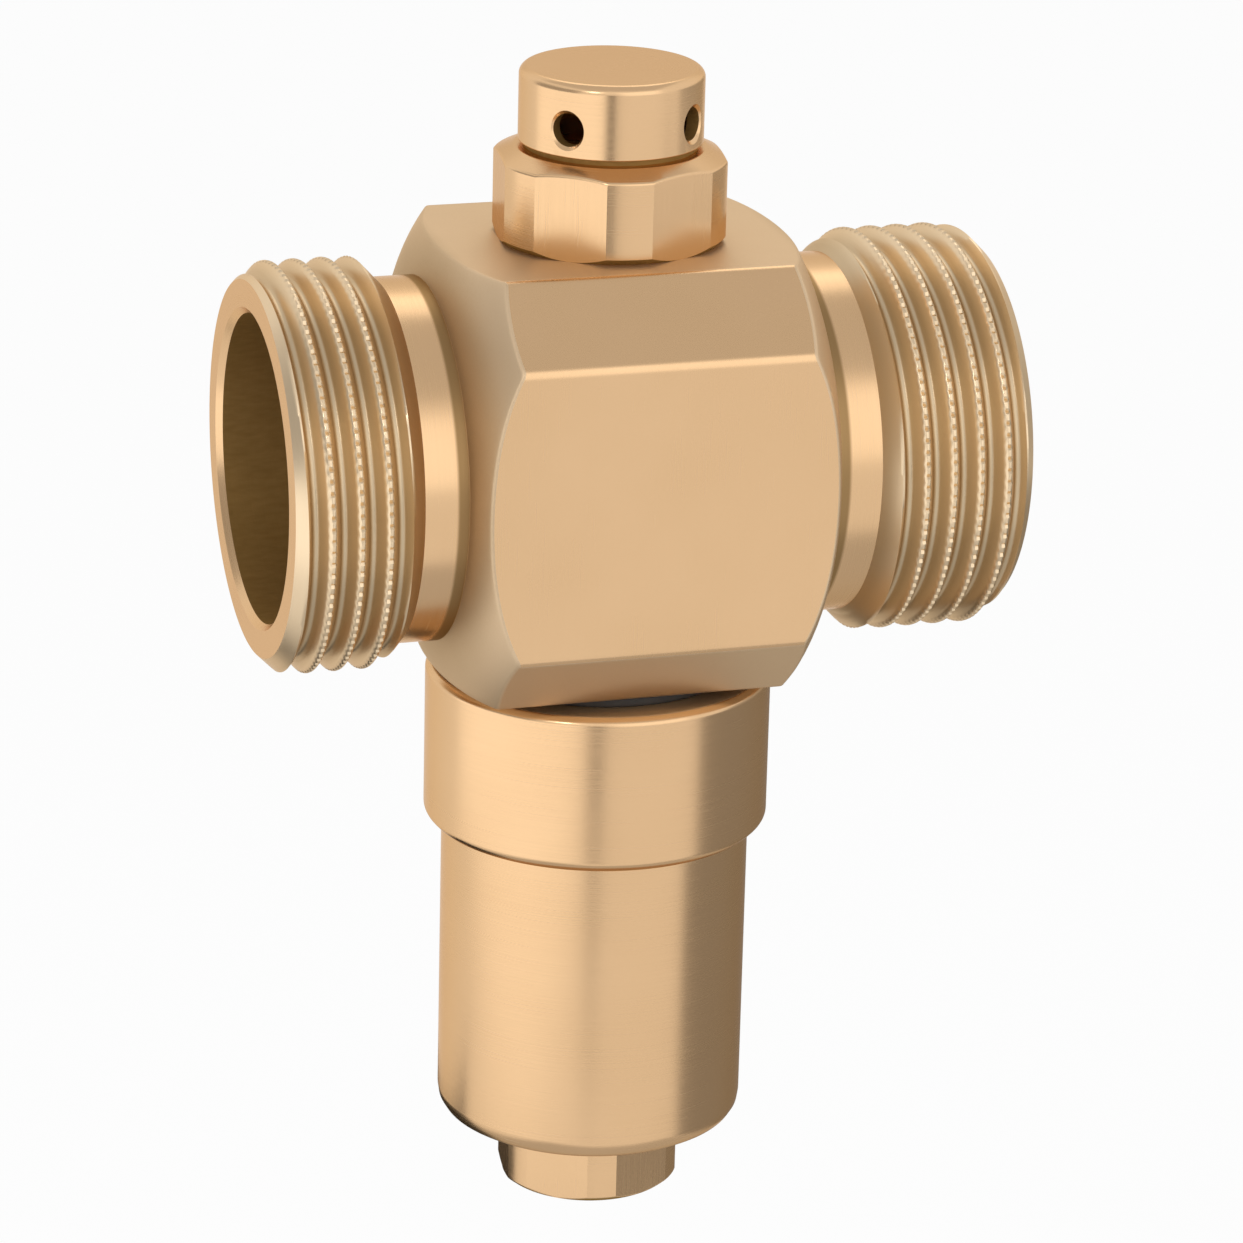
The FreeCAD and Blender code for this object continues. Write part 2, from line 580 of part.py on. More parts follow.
# Wax element: bulb in the waterway, piston guide clamped to a slotted carrier by a nut
def make_element():
    neck = "guide_neck_dia / 2"
    rim = "(coupling_dia / 2 - slide_clearance)"
    carrier = washer("element_carrier", f"{neck} + thread_clearance", rim, "carrier_thick")
    slot_outer = f"({sleeve_bore_r} - carrier_slot_rim)"
    cut_slots(carrier, "(bulb_dia / 2 + carrier_slot_root)", slot_outer, CARRIER_SLOTS)
    place(carrier, carrier_foot)

    bulb_r = "bulb_dia / 2"
    inside = "(bulb_dia / 2 - bulb_wall)"
    bulb = turned("wax_bulb", [
        (inside, "0"),
        (bulb_r, "0"),
        (bulb_r, "bulb_length - bulb_round"),
        (f"{bulb_r} - bulb_round", "bulb_length"),
        ("0", "bulb_length"),
        ("0", "bulb_length - bulb_wall"),
        (f"{bulb_r} - bulb_round", "bulb_length - bulb_wall"),
        (inside, "bulb_length - bulb_round"),
    ], {2: ("bulb_round", 1)})
    place(bulb, bulb_foot)
    wax_r = f"({inside} - seal_clearance)"
    wax_top = "(bulb_length - bulb_round)"
    wax = turned("wax_charge", [
        ("0", "guide_register"),
        (wax_r, "guide_register"),
        (wax_r, wax_top),
        ("0", wax_top),
    ])
    place(wax, bulb_foot)

    bore = "(piston_dia / 2 + seal_clearance)"
    nose = "(carrier_thick + guide_nose)"
    guide = turned("wax_guide", [
        (bore, f"-{nose}"),
        (f"{neck} - mouth_chamfer", f"-{nose}"),
        (neck, f"mouth_chamfer - {nose}"),
        (neck, "0"),
        (bulb_r, "0"),
        (bulb_r, "guide_flange"),
        (f"{inside} - cap_fit", "guide_flange"),
        (f"{inside} - cap_fit", "guide_flange + guide_register"),
        (bore, "guide_flange + guide_register"),
    ])
    place(guide, carrier_top)
    nut = turned("element_nut", [
        (f"{neck} + thread_clearance", "0"),
        *hex_section("nut_hex", "0", "nut_thick"),
        (f"{neck} + thread_clearance", "nut_thick"),
    ])
    cut_hexagon(nut, "nut_hex", "0", "nut_thick")
    place(nut, f"{carrier_foot} - nut_thick")

    piston_length = f"({nose_end} + piston_inset - {clip_foot} + pusher_dimple)"
    piston_edge = "(mouth_chamfer / 2)"
    piston = turned("wax_piston", [
        ("0", "0"),
        (f"piston_dia / 2 - {piston_edge}", "0"),
        ("piston_dia / 2", piston_edge),
        ("piston_dia / 2", f"{piston_length} - {piston_edge}"),
        (f"piston_dia / 2 - {piston_edge}", piston_length),
        ("0", piston_length),
    ])
    place(piston, f"{clip_foot} - pusher_dimple")


# Obturator: sliding cup that shuts the drain, with the overtravel spring and pusher inside it
def make_obturator():
    groove_r = f"({cup_r} + clip_bite + seal_clearance)"
    outer = "cup_dia / 2"
    wing_r = f"({sleeve_bore_r} - slide_clearance)"
    gland_r = f"({outer} - obturator_seal_rim)"
    depth = f"({cup_mouth} - {cup_foot})"
    gland = "(obturator_seal_thick - obturator_seal_stand)"
    clip_low = f"({depth} - clip_inset - clip_wire - seal_clearance)"
    clip_high = f"({depth} - clip_inset + seal_clearance)"
    wing_low = f"({depth} - wing_drop - wing_thick)"
    obturator = turned("obturator", [
        ("0", gland),
        (gland_r, gland),
        (gland_r, "0"),
        (outer, "0"),
        (outer, wing_low),
        (wing_r, wing_low),
        (wing_r, f"{wing_low} + wing_thick"),
        (outer, f"{wing_low} + wing_thick"),
        (outer, depth),
        (cup_r, depth),
        (cup_r, clip_high),
        (groove_r, clip_high),
        (groove_r, clip_low),
        (cup_r, clip_low),
        (cup_r, f"{gland} + cup_floor"),
        ("0", f"{gland} + cup_floor"),
    ])
    cut_slots(obturator, f"({outer} + wing_root)", f"({wing_r} - wing_rim)", WING_SLOTS)
    place(obturator, cup_foot)
    seal = turned("obturator_seal", [
        ("0", "0"),
        (f"{gland_r} - seal_clearance", "0"),
        (f"{gland_r} - seal_clearance", "obturator_seal_thick"),
        ("0", "obturator_seal_thick"),
    ])
    place(seal, lip_top)

    clip = washer("pusher_clip", "clip_bore_dia / 2", f"{cup_r} + clip_bite", "clip_wire")
    gap = new_sketch(clip, "XY_Plane", "pusher_clip_gap")
    half = "(clip_gap / 2)"
    add_outline(gap, [("0", f"-{half}"), ("cup_dia", f"-{half}"), ("cup_dia", half), ("0", half)])
    pocket_through(clip, gap, "gap")
    place(clip, clip_foot)
    dimple_r = "(piston_dia / 2 + seal_clearance)"
    rim = f"({cup_r} - slide_clearance)"
    pusher = turned("pusher", [
        ("0", "0"),
        (rim, "0"),
        (rim, "pusher_thick"),
        (dimple_r, "pusher_thick"),
        (dimple_r, "pusher_thick - pusher_dimple"),
        ("0", "pusher_thick - pusher_dimple"),
    ])
    place(pusher, pusher_foot)
    coil_dia = f"(2 * ({cup_r} - overtravel_play) - overtravel_wire)"
    spring("overtravel_spring", coil_dia, "overtravel_wire", cup_bottom, pusher_foot, OVERTRAVEL_TURNS)
    coil_dia = f"(2 * ({sleeve_bore_r} - contrast_play) - contrast_wire)"
    spring("contrast_spring", coil_dia, "contrast_wire", floor_top, wing_foot, CONTRAST_TURNS)


# Drain nipple: hexagon, screwed shank and the raised lip that the obturator shuts
def make_nipple():
    bore = "drain_bore_dia / 2"
    shank = "(shank_dia / 2 - thread_clearance)"
    lip = f"({bore} + lip_wall)"
    top = "(sleeve_floor + lip_height)"
    groove_r = "(shank_dia / 2 - nipple_ring - 2 * seal_clearance)"
    groove_top = "(ring_shelf + nipple_ring + 2 * seal_clearance)"
    nipple = turned("drain_nipple", [
        (f"{bore} + mouth_chamfer", "-nipple_hex_height"),
        *hex_section("nipple_hex", "-nipple_hex_height", "nipple_hex_height", ("nipple_edge", "nipple_edge")),
        (shank, "0"),
        (shank, "ring_shelf"),
        (groove_r, "ring_shelf"),
        (groove_r, groove_top),
        (shank, groove_top),
        (shank, f"{top} - lip_step"),
        (lip, f"{top} - lip_step"),
        (lip, top),
        (bore, top),
        (bore, "mouth_chamfer - nipple_hex_height"),
    ])
    cut_hexagon(nipple, "nipple_hex", "-nipple_hex_height", "nipple_hex_height")
    place(nipple, sleeve_foot, "hex_turn")
    ring_r = "(shank_dia / 2 - nipple_ring / 2 - seal_clearance)"
    ring_height = f"{sleeve_foot} + ring_shelf + nipple_ring / 2 + seal_clearance"
    sealing_ring("nipple_seal", ring_r, "nipple_ring", ring_height)


make_valve_body()
make_breaker()
make_housing()
make_element()
make_obturator()
make_nipple()
doc.recompute()

for item in doc.Objects:
    if "Invalid" in item.State or "Error" in item.State:
        raise RuntimeError(f"{item.Label} failed: {item.State}")
os.makedirs("parts", exist_ok=True)
for piece in pieces:
    if piece.Shape.isNull() or not piece.Shape.isValid() or len(piece.Shape.Solids) != 1:
        raise RuntimeError(f"{piece.Label} is not one valid solid")
    piece.Shape.exportStep(f"parts/{piece.Label}.step")
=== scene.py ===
import json
import math

import bmesh
import bpy
import numpy as np
from mathutils import Matrix, Vector


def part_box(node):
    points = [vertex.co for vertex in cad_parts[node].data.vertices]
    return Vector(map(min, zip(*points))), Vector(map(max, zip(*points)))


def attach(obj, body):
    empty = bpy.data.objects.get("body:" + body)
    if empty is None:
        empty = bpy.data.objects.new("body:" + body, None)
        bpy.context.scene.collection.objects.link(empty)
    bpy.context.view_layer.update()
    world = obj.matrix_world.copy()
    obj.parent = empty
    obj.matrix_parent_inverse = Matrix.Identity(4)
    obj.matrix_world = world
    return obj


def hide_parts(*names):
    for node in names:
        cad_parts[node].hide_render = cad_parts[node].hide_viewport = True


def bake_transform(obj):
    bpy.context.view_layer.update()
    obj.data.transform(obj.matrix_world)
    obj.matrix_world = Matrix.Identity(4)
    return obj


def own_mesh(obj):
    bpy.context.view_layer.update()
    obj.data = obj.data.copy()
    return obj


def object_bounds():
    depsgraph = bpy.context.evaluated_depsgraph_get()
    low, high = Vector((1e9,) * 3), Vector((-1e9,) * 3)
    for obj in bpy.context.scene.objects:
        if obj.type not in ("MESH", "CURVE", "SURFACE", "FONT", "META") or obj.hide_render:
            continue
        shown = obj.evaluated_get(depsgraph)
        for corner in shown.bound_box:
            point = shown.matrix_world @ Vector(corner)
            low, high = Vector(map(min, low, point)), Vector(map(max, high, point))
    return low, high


# Looks of the anti-freeze valve, piece by piece as it is put together, in metres
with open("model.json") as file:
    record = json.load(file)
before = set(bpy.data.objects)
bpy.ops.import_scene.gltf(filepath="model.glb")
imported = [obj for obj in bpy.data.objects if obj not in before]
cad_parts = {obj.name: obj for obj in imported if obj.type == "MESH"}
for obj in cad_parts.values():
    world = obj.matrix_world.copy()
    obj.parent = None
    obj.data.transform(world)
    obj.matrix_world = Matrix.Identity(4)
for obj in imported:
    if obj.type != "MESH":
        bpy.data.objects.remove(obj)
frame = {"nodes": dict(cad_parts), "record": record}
cad_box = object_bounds()
MM = 0.001
TAU = 2 * math.pi

# Valve body: one brass forging, milled to an octagon, turned at both ends into a dome, a plain neck and
# a G 1 thread, and bored right through. Its thread crests are finely notched, so that sealing hemp grips.
body_low, body_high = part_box("valve_body")
sleeve_low, sleeve_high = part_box("drain_sleeve")
mounts = {mount["name"]: mount for mount in frame["record"]["mounts"]}
UPRIGHT_X = (sleeve_low.x + sleeve_high.x) / 2
FLAT_R = body_high.y
THREAD_R = mounts["inlet_thread"]["dims"]["r_mm"] * MM
NECK_R = 14.8 * MM
BORE_R = 12.5 * MM
MOUTH = 0.5 * MM
LEAD = 1.4 * MM
RUNOUT = 1.7 * MM
NECK_LENGTH = 3.6 * MM
SHOULDER = 30.6 * MM
BODY_CORNER = 5.8 * MM
DOME_R = 13.3 * MM
DOME_DROP = 2.5 * MM
EDGE_BREAK = 0.22 * MM
PITCH = 2.309 * MM
THREAD_DEPTH = 1.479 * MM
FLANK_ANGLE = math.radians(27.5)
CREST_ROUND = 0.137329 * PITCH
NOTCHES = 108
NOTCH_DEPTH = 0.28 * MM
SIDES = 4 * NOTCHES
ROWS_PER_PITCH = 16
INLET_CREST_X = 1.58 * MM
OUTLET_CREST_X = 50.45 * MM
FLAT_STEPS, CORNER_STEPS, BREAK_STEPS = 80, 26, 1
DOME_ROWS = 10
EASE_ROWS = 5
BORE_ROWS = 12
TURN_SIDES = 144
TOP_FACE, UNDERSIDE = 0.95, -0.5
SHARP_ANGLE = math.radians(40)
WELD = 2e-6


class Wire:
    """An output socket that takes part in Python sums by adding Math nodes."""

    def __init__(self, tree, socket):
        self.tree = tree
        self.socket = socket

    def __add__(self, other):
        return self.tree.math("ADD", self, other)

    def __sub__(self, other):
        return self.tree.math("SUBTRACT", self, other)

    def __rsub__(self, other):
        return self.tree.math("SUBTRACT", other, self)

    def __mul__(self, other):
        return self.tree.math("MULTIPLY", self, other)

    def __truediv__(self, other):
        return self.tree.math("DIVIDE", self, other)

    def __lt__(self, other):
        return self.tree.math("LESS_THAN", self, other)

    def __gt__(self, other):
        return self.tree.math("GREATER_THAN", self, other)

    __radd__ = __add__
    __rmul__ = __mul__


class Tree:
    """A shader or geometry tree, built node by node."""

    def __init__(self, made):
        self.made = made

    def node(self, kind, settings=None, sockets=None):
        node = self.made.nodes.new(kind)
        for name, value in (settings or {}).items():
            setattr(node, name, value)
        for name, value in (sockets or {}).items():
            if isinstance(value, Wire):
                self.made.links.new(value.socket, node.inputs[name])
            else:
                node.inputs[name].default_value = value
        return node

    def wire(self, kind, output=0, settings=None, sockets=None):
        return Wire(self, self.node(kind, settings, sockets).outputs[output])

    def math(self, operation, *values):
        return self.wire("ShaderNodeMath", 0, {"operation": operation}, dict(enumerate(values)))

    def vector(self, x, y, z):
        return self.wire("ShaderNodeCombineXYZ", 0, None, {"X": x, "Y": y, "Z": z})

    def split(self, vector):
        node = self.node("ShaderNodeSeparateXYZ", None, {"Vector": vector})
        return [Wire(self, socket) for socket in node.outputs]

    def mix(self, factor, first, second):
        return self.wire("ShaderNodeMix", 2, {"data_type": "RGBA"}, {0: factor, 6: first, 7: second})

    def noise(self, vector, scale, detail):
        sockets = {"Vector": vector, "Scale": scale, "Detail": detail}
        return self.wire("ShaderNodeTexNoise", "Fac", None, sockets)

    def ramp(self, value, low, high, at_low, at_high):
        """A smooth step from at_low, where the value is low, to at_high, where it is high."""
        sockets = {"Value": value, "From Min": low, "From Max": high, "To Min": at_low, "To Max": at_high}
        return self.wire("ShaderNodeMapRange", 0, {"interpolation_type": "SMOOTHSTEP"}, sockets)


def new_material(name):
    """A material, its tree and its main shader."""
    material = bpy.data.materials.new(name)
    material.use_nodes = True
    return material, Tree(material.node_tree), material.node_tree.nodes["Principled BSDF"]


def surface_place(tree):
    """Where the surface is, in millimetres from the crossing of the valve's two axes."""
    sockets = {
        "Vector": tree.wire("ShaderNodeTexCoord", "Object"),
        "Location": (-UPRIGHT_X / MM, 0, 0),
        "Scale": (1 / MM,) * 3,
    }
    return tree.split(tree.wire("ShaderNodeMapping", "Vector", None, sockets))


# Tool marks: how many lie across a millimetre, and how often they break off along their length
STROKES, STROKE_BREAKS = 7, 0.16
GRAINS = 5
RINGS, RING_BREAKS = 12, 0.5


def milled_marks(tree):
    """Fine upright strokes, as a belt leaves them on a flat."""
    x, y, z = surface_place(tree)
    return tree.vector(x * STROKES, y * STROKES, z * STROKE_BREAKS)


def forged_grain(tree):
    """The even grain of a blasted forging."""
    x, y, z = surface_place(tree)
    return tree.vector(x * GRAINS, y * GRAINS, z * GRAINS)


def turned_marks(tree, along, u, v):
    """Rings round an axis, as a lathe tool leaves them; u and v lie across the axis."""
    radius = tree.math("SQRT", u * u + v * v)
    turn = tree.math("ARCTAN2", v, u)
    return tree.vector(along * RINGS, radius * RINGS, turn * RING_BREAKS)


def run_marks(tree):
    """Rings round the waterway's axis."""
    x, y, z = surface_place(tree)
    return turned_marks(tree, x, y, z)


def upright_marks(tree):
    """Rings round the valve's upright axis."""
    x, y, z = surface_place(tree)
    return turned_marks(tree, z, x, y)


BRASS_SHEEN = (0.85, 0.70, 0.54, 1)
# Each palette: pale and deep tones, the colour that painted shade and stains darken it to, and the tint of
# its reflections
BRASS = [(0.785, 0.52, 0.295, 1), (0.72, 0.468, 0.252, 1), (0.21, 0.12, 0.035, 1), BRASS_SHEEN]
BLASTED_BRASS = [(0.755, 0.57, 0.375, 1), (0.685, 0.51, 0.325, 1), (0.30, 0.215, 0.11, 1), BRASS_SHEEN]
THREAD_BRASS = [(0.82, 0.64, 0.43, 1), (0.76, 0.585, 0.38, 1), (0.34, 0.26, 0.15, 1), BRASS_SHEEN]
# Raw brass, left unpolished and darker still as painted shade: it goes in the waterway, the ports, the
# cap's chamber and under the hexagons
SHADED_RAW_BRASS = [(0.66, 0.43, 0.17, 1), (0.52, 0.33, 0.11, 1), (0.24, 0.13, 0.03, 1), BRASS_SHEEN]

# Satin finish: clouds in a millimetre, and how far clouds, marks and the painted shade and stains change
# its roughness
CLOUDS = 0.09
CLOUD_DULLS, MARK_DULLS, SHADE_AND_STAIN_DULLS = 0.08, 0.14, 0.15
MARK_DEPTH = 0.008 * MM


def metal(name, marks, colours, roughness, depth=0.35, shade_and_stain=None):
    """Satin metal, pale to deep, with tool marks; the last argument gives how far painted shade and stains
    darken a place, 0 to 1.
    """
    pale, deep, shade_and_stain_colour, sheen = colours
    material, tree, shader = new_material(name)
    place = tree.vector(*surface_place(tree))
    cloud = tree.noise(place, CLOUDS, 3)
    stroke = tree.noise(marks(tree), 1.0, 3)
    colour = tree.mix(cloud, pale, deep)
    rough = roughness + (stroke - 0.5) * MARK_DULLS + (cloud - 0.5) * CLOUD_DULLS
    if shade_and_stain:
        shade_and_stain_share = shade_and_stain(tree)
        colour = tree.mix(shade_and_stain_share, colour, shade_and_stain_colour)
        rough = rough + shade_and_stain_share * SHADE_AND_STAIN_DULLS
    links = material.node_tree.links
    links.new(colour.socket, shader.inputs["Base Color"])
    links.new(rough.socket, shader.inputs["Roughness"])
    shader.inputs["Metallic"].default_value = 1.0
    shader.inputs["Specular Tint"].default_value = sheen
    sockets = {"Strength": depth, "Distance": MARK_DEPTH, "Height": stroke}
    bump = tree.wire("ShaderNodeBump", 0, None, sockets)
    links.new(bump.socket, shader.inputs["Normal"])
    return material


def thread_painted_shade(tree):
    """Painted shade in the thread, darker the deeper below its crests and the chamfers at its ends."""
    x, y, z = surface_place(tree)
    radius = tree.math("SQRT", y * y + z * z)
    from_end = tree.math("MINIMUM", x + (UPRIGHT_X - body_low.x) / MM, (body_high.x - UPRIGHT_X) / MM - x)
    envelope = tree.math("MINIMUM", from_end + (THREAD_R - LEAD) / MM, THREAD_R / MM)
    return tree.ramp(envelope - radius, 0.0, THREAD_DEPTH / MM, 0.0, THREAD_SHADE)


def shoulder_painted_shade(tree):
    """A darker, rougher ring of painted shade where each neck meets its dome."""
    x, y, z = surface_place(tree)
    past = tree.math("ABSOLUTE", x) - SHOULDER / 2 / MM
    dome = tree.ramp(past, -SHADED_DOME, 0.0, 0.0, SHOULDER_SHADE)
    neck = tree.ramp(past, *SHADED_NECK, 1.0, 0.0)
    return (dome + (past > NECK_ROOT) * NECK_SHADE) * neck


def bore_shade_and_stains(tree):
    """Painted shade over the whole waterway, which was never polished, with mottled stains on it."""
    x, y, z = surface_place(tree)
    stains = tree.vector(x * STAINS_ALONG, y * STAINS_ROUND, z * STAINS_ROUND)
    return tree.noise(stains, 1.0, 4) * STAIN_SPREAD + BORE_SHADE


BRASS_ROUGHNESS = 0.25
FORGED_ROUGHNESS = 0.5
THREAD_ROUGHNESS = 0.32
# How dark painted shade makes the thread's roots and the ring where each neck meets its dome, and where on
# dome and neck that ring lies, in mm
THREAD_SHADE = 0.4
SHOULDER_SHADE = 0.32
NECK_SHADE = 0.45
SHADED_DOME, NECK_ROOT, SHADED_NECK = 2.2, 0.02, (0.75, 1.1)
RAW_ROUGHNESS = 0.6
# How dark the painted shade in the waterway is, and how far stains vary it
BORE_SHADE, STAIN_SPREAD = 0.35, 0.4
STAINS_ALONG, STAINS_ROUND = 0.8, 2.5
run_brass = metal("turned_brass_run", run_marks, BRASS, BRASS_ROUGHNESS, shade_and_stain=shoulder_painted_shade)
thread_brass = metal("threaded_brass", run_marks, THREAD_BRASS, THREAD_ROUGHNESS, shade_and_stain=thread_painted_shade)
milled_brass = metal("milled_brass", milled_marks, BRASS, BRASS_ROUGHNESS, depth=0.14)
forged_brass = metal(
    "forged_brass", forged_grain, BLASTED_BRASS, FORGED_ROUGHNESS, shade_and_stain=shoulder_painted_shade
)
shaded_raw_brass = metal("shaded_raw_brass", run_marks, SHADED_RAW_BRASS, RAW_ROUGHNESS, depth=0.6, shade_and_stain=bore_shade_and_stains)
body_finishes = (run_brass, milled_brass, shaded_raw_brass, thread_brass, forged_brass)
TURNED, MILLED, SHADED_RAW, THREADED, FORGED = range(5)


def geometry_tree(name, inputs):
    """A geometry tree with these named inputs, and the wires that carry them."""
    group = bpy.data.node_groups.new(name, "GeometryNodeTree")
    group.interface.new_socket("Geometry", in_out="OUTPUT", socket_type="NodeSocketGeometry")
    for label, kind in inputs.items():
        group.interface.new_socket(label, in_out="INPUT", socket_type="NodeSocket" + kind)
    tree = Tree(group)
    entry = tree.node("NodeGroupInput")
    return tree, {label: Wire(tree, entry.outputs[label]) for label in inputs}


def close_tree(tree, geometry, material):
    """Smooth, realise and coat what a geometry tree has made."""
    for kind, sockets in (
        ("GeometryNodeSetShadeSmooth", {}),
        ("GeometryNodeRealizeInstances", {}),
        ("GeometryNodeSetMaterial", {"Material": material}),
    ):
        geometry = tree.wire(kind, 0, None, {"Geometry": geometry, **sockets})
    tree.node("NodeGroupOutput", None, {"Geometry": geometry})


def placed(name, data):
    """An object of this mesh, lamp or camera, put in the scene."""
    thing = bpy.data.objects.new(name, data)
    bpy.context.scene.collection.objects.link(thing)
    return thing


def finished_mesh(carrier):
    """The plain mesh that an object's modifiers make; the object is taken away."""
    bpy.context.view_layer.update()
    evaluated = carrier.evaluated_get(bpy.context.evaluated_depsgraph_get())
    mesh = bpy.data.meshes.new_from_object(evaluated)
    bpy.data.objects.remove(carrier)
    return mesh


def grown(tree, values, mesh=None):
    """The plain mesh that a geometry tree makes from these values, and from a mesh where it takes one."""
    name = tree.made.name
    carrier = placed(name, mesh or bpy.data.meshes.new(name))
    modifier = carrier.modifiers.new(name, "NODES")
    modifier.node_group = tree.made
    for item in tree.made.interface.items_tree:
        if item.in_out == "INPUT" and item.name in values:
            modifier[item.identifier] = values[item.name]
    return finished_mesh(carrier)


def thread_tree():
    """A right-hand pipe thread round the run, from its neck to its end face."""
    floats = ("Neck X", "End X", "Crest X", "First Row", "Row Span")
    inputs = {**dict.fromkeys(floats, "Float"), "Rows": "Int", "Material": "Material"}
    tree, given = geometry_tree("pipe_thread", inputs)
    sockets = {"Size X": TAU, "Size Y": given["Row Span"],
               "Vertices X": SIDES + 1, "Vertices Y": given["Rows"]}
    sheet = tree.wire("GeometryNodeMeshGrid", "Mesh", None, sockets)
    turn, across, _ = tree.split(tree.wire("GeometryNodeInputPosition"))
    neck, end = given["Neck X"], given["End X"]
    climb = turn * (PITCH / TAU)
    x = across + given["First Row"] + given["Row Span"] * 0.5 + climb
    x = tree.math("MINIMUM", tree.math("MAXIMUM", x, tree.math("MINIMUM", neck, end)),
                  tree.math("MAXIMUM", neck, end))

    from_crest = tree.math("PINGPONG", x - climb - given["Crest X"], PITCH / 2)
    from_root = PITCH / 2 - from_crest
    tangent = CREST_ROUND * math.cos(FLANK_ANGLE)

    def arc(distance):
        """How far a rounded crest has fallen at this distance from its top."""
        inside = tree.math("MAXIMUM", CREST_ROUND**2 - distance * distance, 0.0)
        return CREST_ROUND - tree.math("SQRT", inside)

    at_crest, at_root = from_crest < tangent, from_root < tangent
    flank = (from_crest - PITCH / 4) / math.tan(FLANK_ANGLE) + THREAD_DEPTH / 2
    fall = arc(from_crest) * at_crest + (THREAD_DEPTH - arc(from_root)) * at_root
    fall = fall + flank * (1 - at_crest - at_root)
    notch = tree.math("MAXIMUM", tree.math("COSINE", turn * NOTCHES), 0.0)
    notch = notch * tree.math("MAXIMUM", 1 - from_crest / tangent, 0.0) * NOTCH_DEPTH

    from_end = tree.math("ABSOLUTE", x - end)
    from_neck = tree.math("ABSOLUTE", x - neck) * ((THREAD_R - NECK_R) / RUNOUT)
    chamfer = tree.math("MINIMUM", from_end + (THREAD_R - LEAD), from_neck + NECK_R)
    ridge = tree.math("MAXIMUM", THREAD_R - fall - notch, THREAD_R - LEAD)
    radius = tree.math("MINIMUM", ridge, chamfer)
    place = tree.vector(x, radius * tree.math("COSINE", turn), radius * tree.math("SINE", turn))
    wound = tree.wire("GeometryNodeSetPosition", 0, None, {"Geometry": sheet, "Position": place})
    sockets = {"Geometry": wound, "Distance": WELD}
    close_tree(tree, tree.wire("GeometryNodeMergeByDistance", 0, None, sockets), given["Material"])
    return tree


def thread_mesh(tree, neck_x, end_x, crest_x):
    """One threaded end; its rows keep to the helix, so that crests and roots stay crisp."""
    row = PITCH / ROWS_PER_PITCH
    low, high = min(neck_x, end_x) - PITCH / 2, max(neck_x, end_x) + PITCH / 2
    first = crest_x + math.floor((low - crest_x) / row) * row
    rows = math.ceil((high - first) / row)
    return grown(tree, {
        "Neck X": neck_x, "End X": end_x, "Crest X": crest_x, "First Row": first,
        "Row Span": rows * row, "Rows": rows + 1, "Material": thread_brass,
    })


def crossing(first, second):
    """The corner where two faces of an outline meet; a face is its normal's angle and its distance."""
    normals = [[math.cos(angle), math.sin(angle)] for angle, _ in (first, second)]
    return np.linalg.solve(normals, [first[1], second[1]])


def broken_edges(faces, ease):
    """The faces of an outline with a narrow one cut across each corner."""
    result = []
    for i, face in enumerate(faces):
        after = faces[(i + 1) % len(faces)]
        half = ((after[0] - face[0]) % TAU) / 2
        middle = face[0] + half
        reach = crossing(face, after) @ [math.cos(middle), math.sin(middle)]
        result += [face, (middle, reach - ease * math.sin(half))]
    return result


def outline(faces, steps):
    """Angles and radii round an outline, with so many steps on each face."""
    angles, radii = [], []
    for i, (normal, distance) in enumerate(faces):
        ends = [crossing(faces[i - 1], faces[i]), crossing(faces[i], faces[(i + 1) % len(faces)])]
        turns = [(math.atan2(y, x) - normal + math.pi) % TAU - math.pi for x, y in ends]
        spots = np.linspace(*turns, steps[i], endpoint=False)
        angles.append(spots + normal)
        radii.append(distance / np.cos(spots))
    return np.concatenate(angles), np.concatenate(radii)


def eased(before, corner, after):
    """Rows of (along, radius) that round a corner between the points before and after it."""
    shares = np.linspace(0, 1, EASE_ROWS)
    return [
        tuple((1 - t) ** 2 * a + 2 * t * (1 - t) * c + t * t * b for a, c, b in zip(before, corner, after))
        for t in shares
    ]


def skin(mesh, rows, turn, finishes, closed=False):
    """Quads over rows of points, as a new bmesh; turn makes a row's points, finishes are per strip."""
    points = np.stack([turn(*row) for row in rows])
    count, sides = points.shape[:2]
    verts = [mesh.verts.new(p) for p in points.reshape(-1, 3)]
    for i in range(count if closed else count - 1):
        for j in range(sides):
            k, after = (j + 1) % sides, (i + 1) % count
            corners = (i * sides + j, i * sides + k, after * sides + k, after * sides + j)
            face = mesh.faces.new([verts[c] for c in corners])
            face.material_index = finishes[i % len(finishes)]


def settled(mesh, name, materials=()):
    """Weld a bmesh, turn its faces outwards and give it as a plain mesh of these materials."""
    bmesh.ops.remove_doubles(mesh, verts=mesh.verts, dist=WELD)
    bmesh.ops.dissolve_degenerate(mesh, edges=mesh.edges, dist=WELD / 2)
    bmesh.ops.delete(mesh, geom=[edge for edge in mesh.edges if not edge.link_faces], context="EDGES")
    bmesh.ops.recalc_face_normals(mesh, faces=mesh.faces)
    if mesh.calc_volume(signed=True) < 0:
        bmesh.ops.reverse_faces(mesh, faces=mesh.faces)
    made = bpy.data.meshes.new(name)
    mesh.to_mesh(made)
    mesh.free()
    for material in materials:
        made.materials.append(material)
    return made


def about_run(along, radius, angle):
    """Points round the waterway's axis."""
    along, radius, angle = np.broadcast_arrays(along, radius, angle)
    return np.stack([along, radius * np.cos(angle), radius * np.sin(angle)], axis=-1)


def about_upright(angle):
    """A row maker round the valve's upright axis, at these angles."""
    def turn(along, radius):
        along, radius, _ = np.broadcast_arrays(along, radius, angle)
        return np.stack([UPRIGHT_X + radius * np.cos(angle), radius * np.sin(angle), along], axis=-1)
    return turn


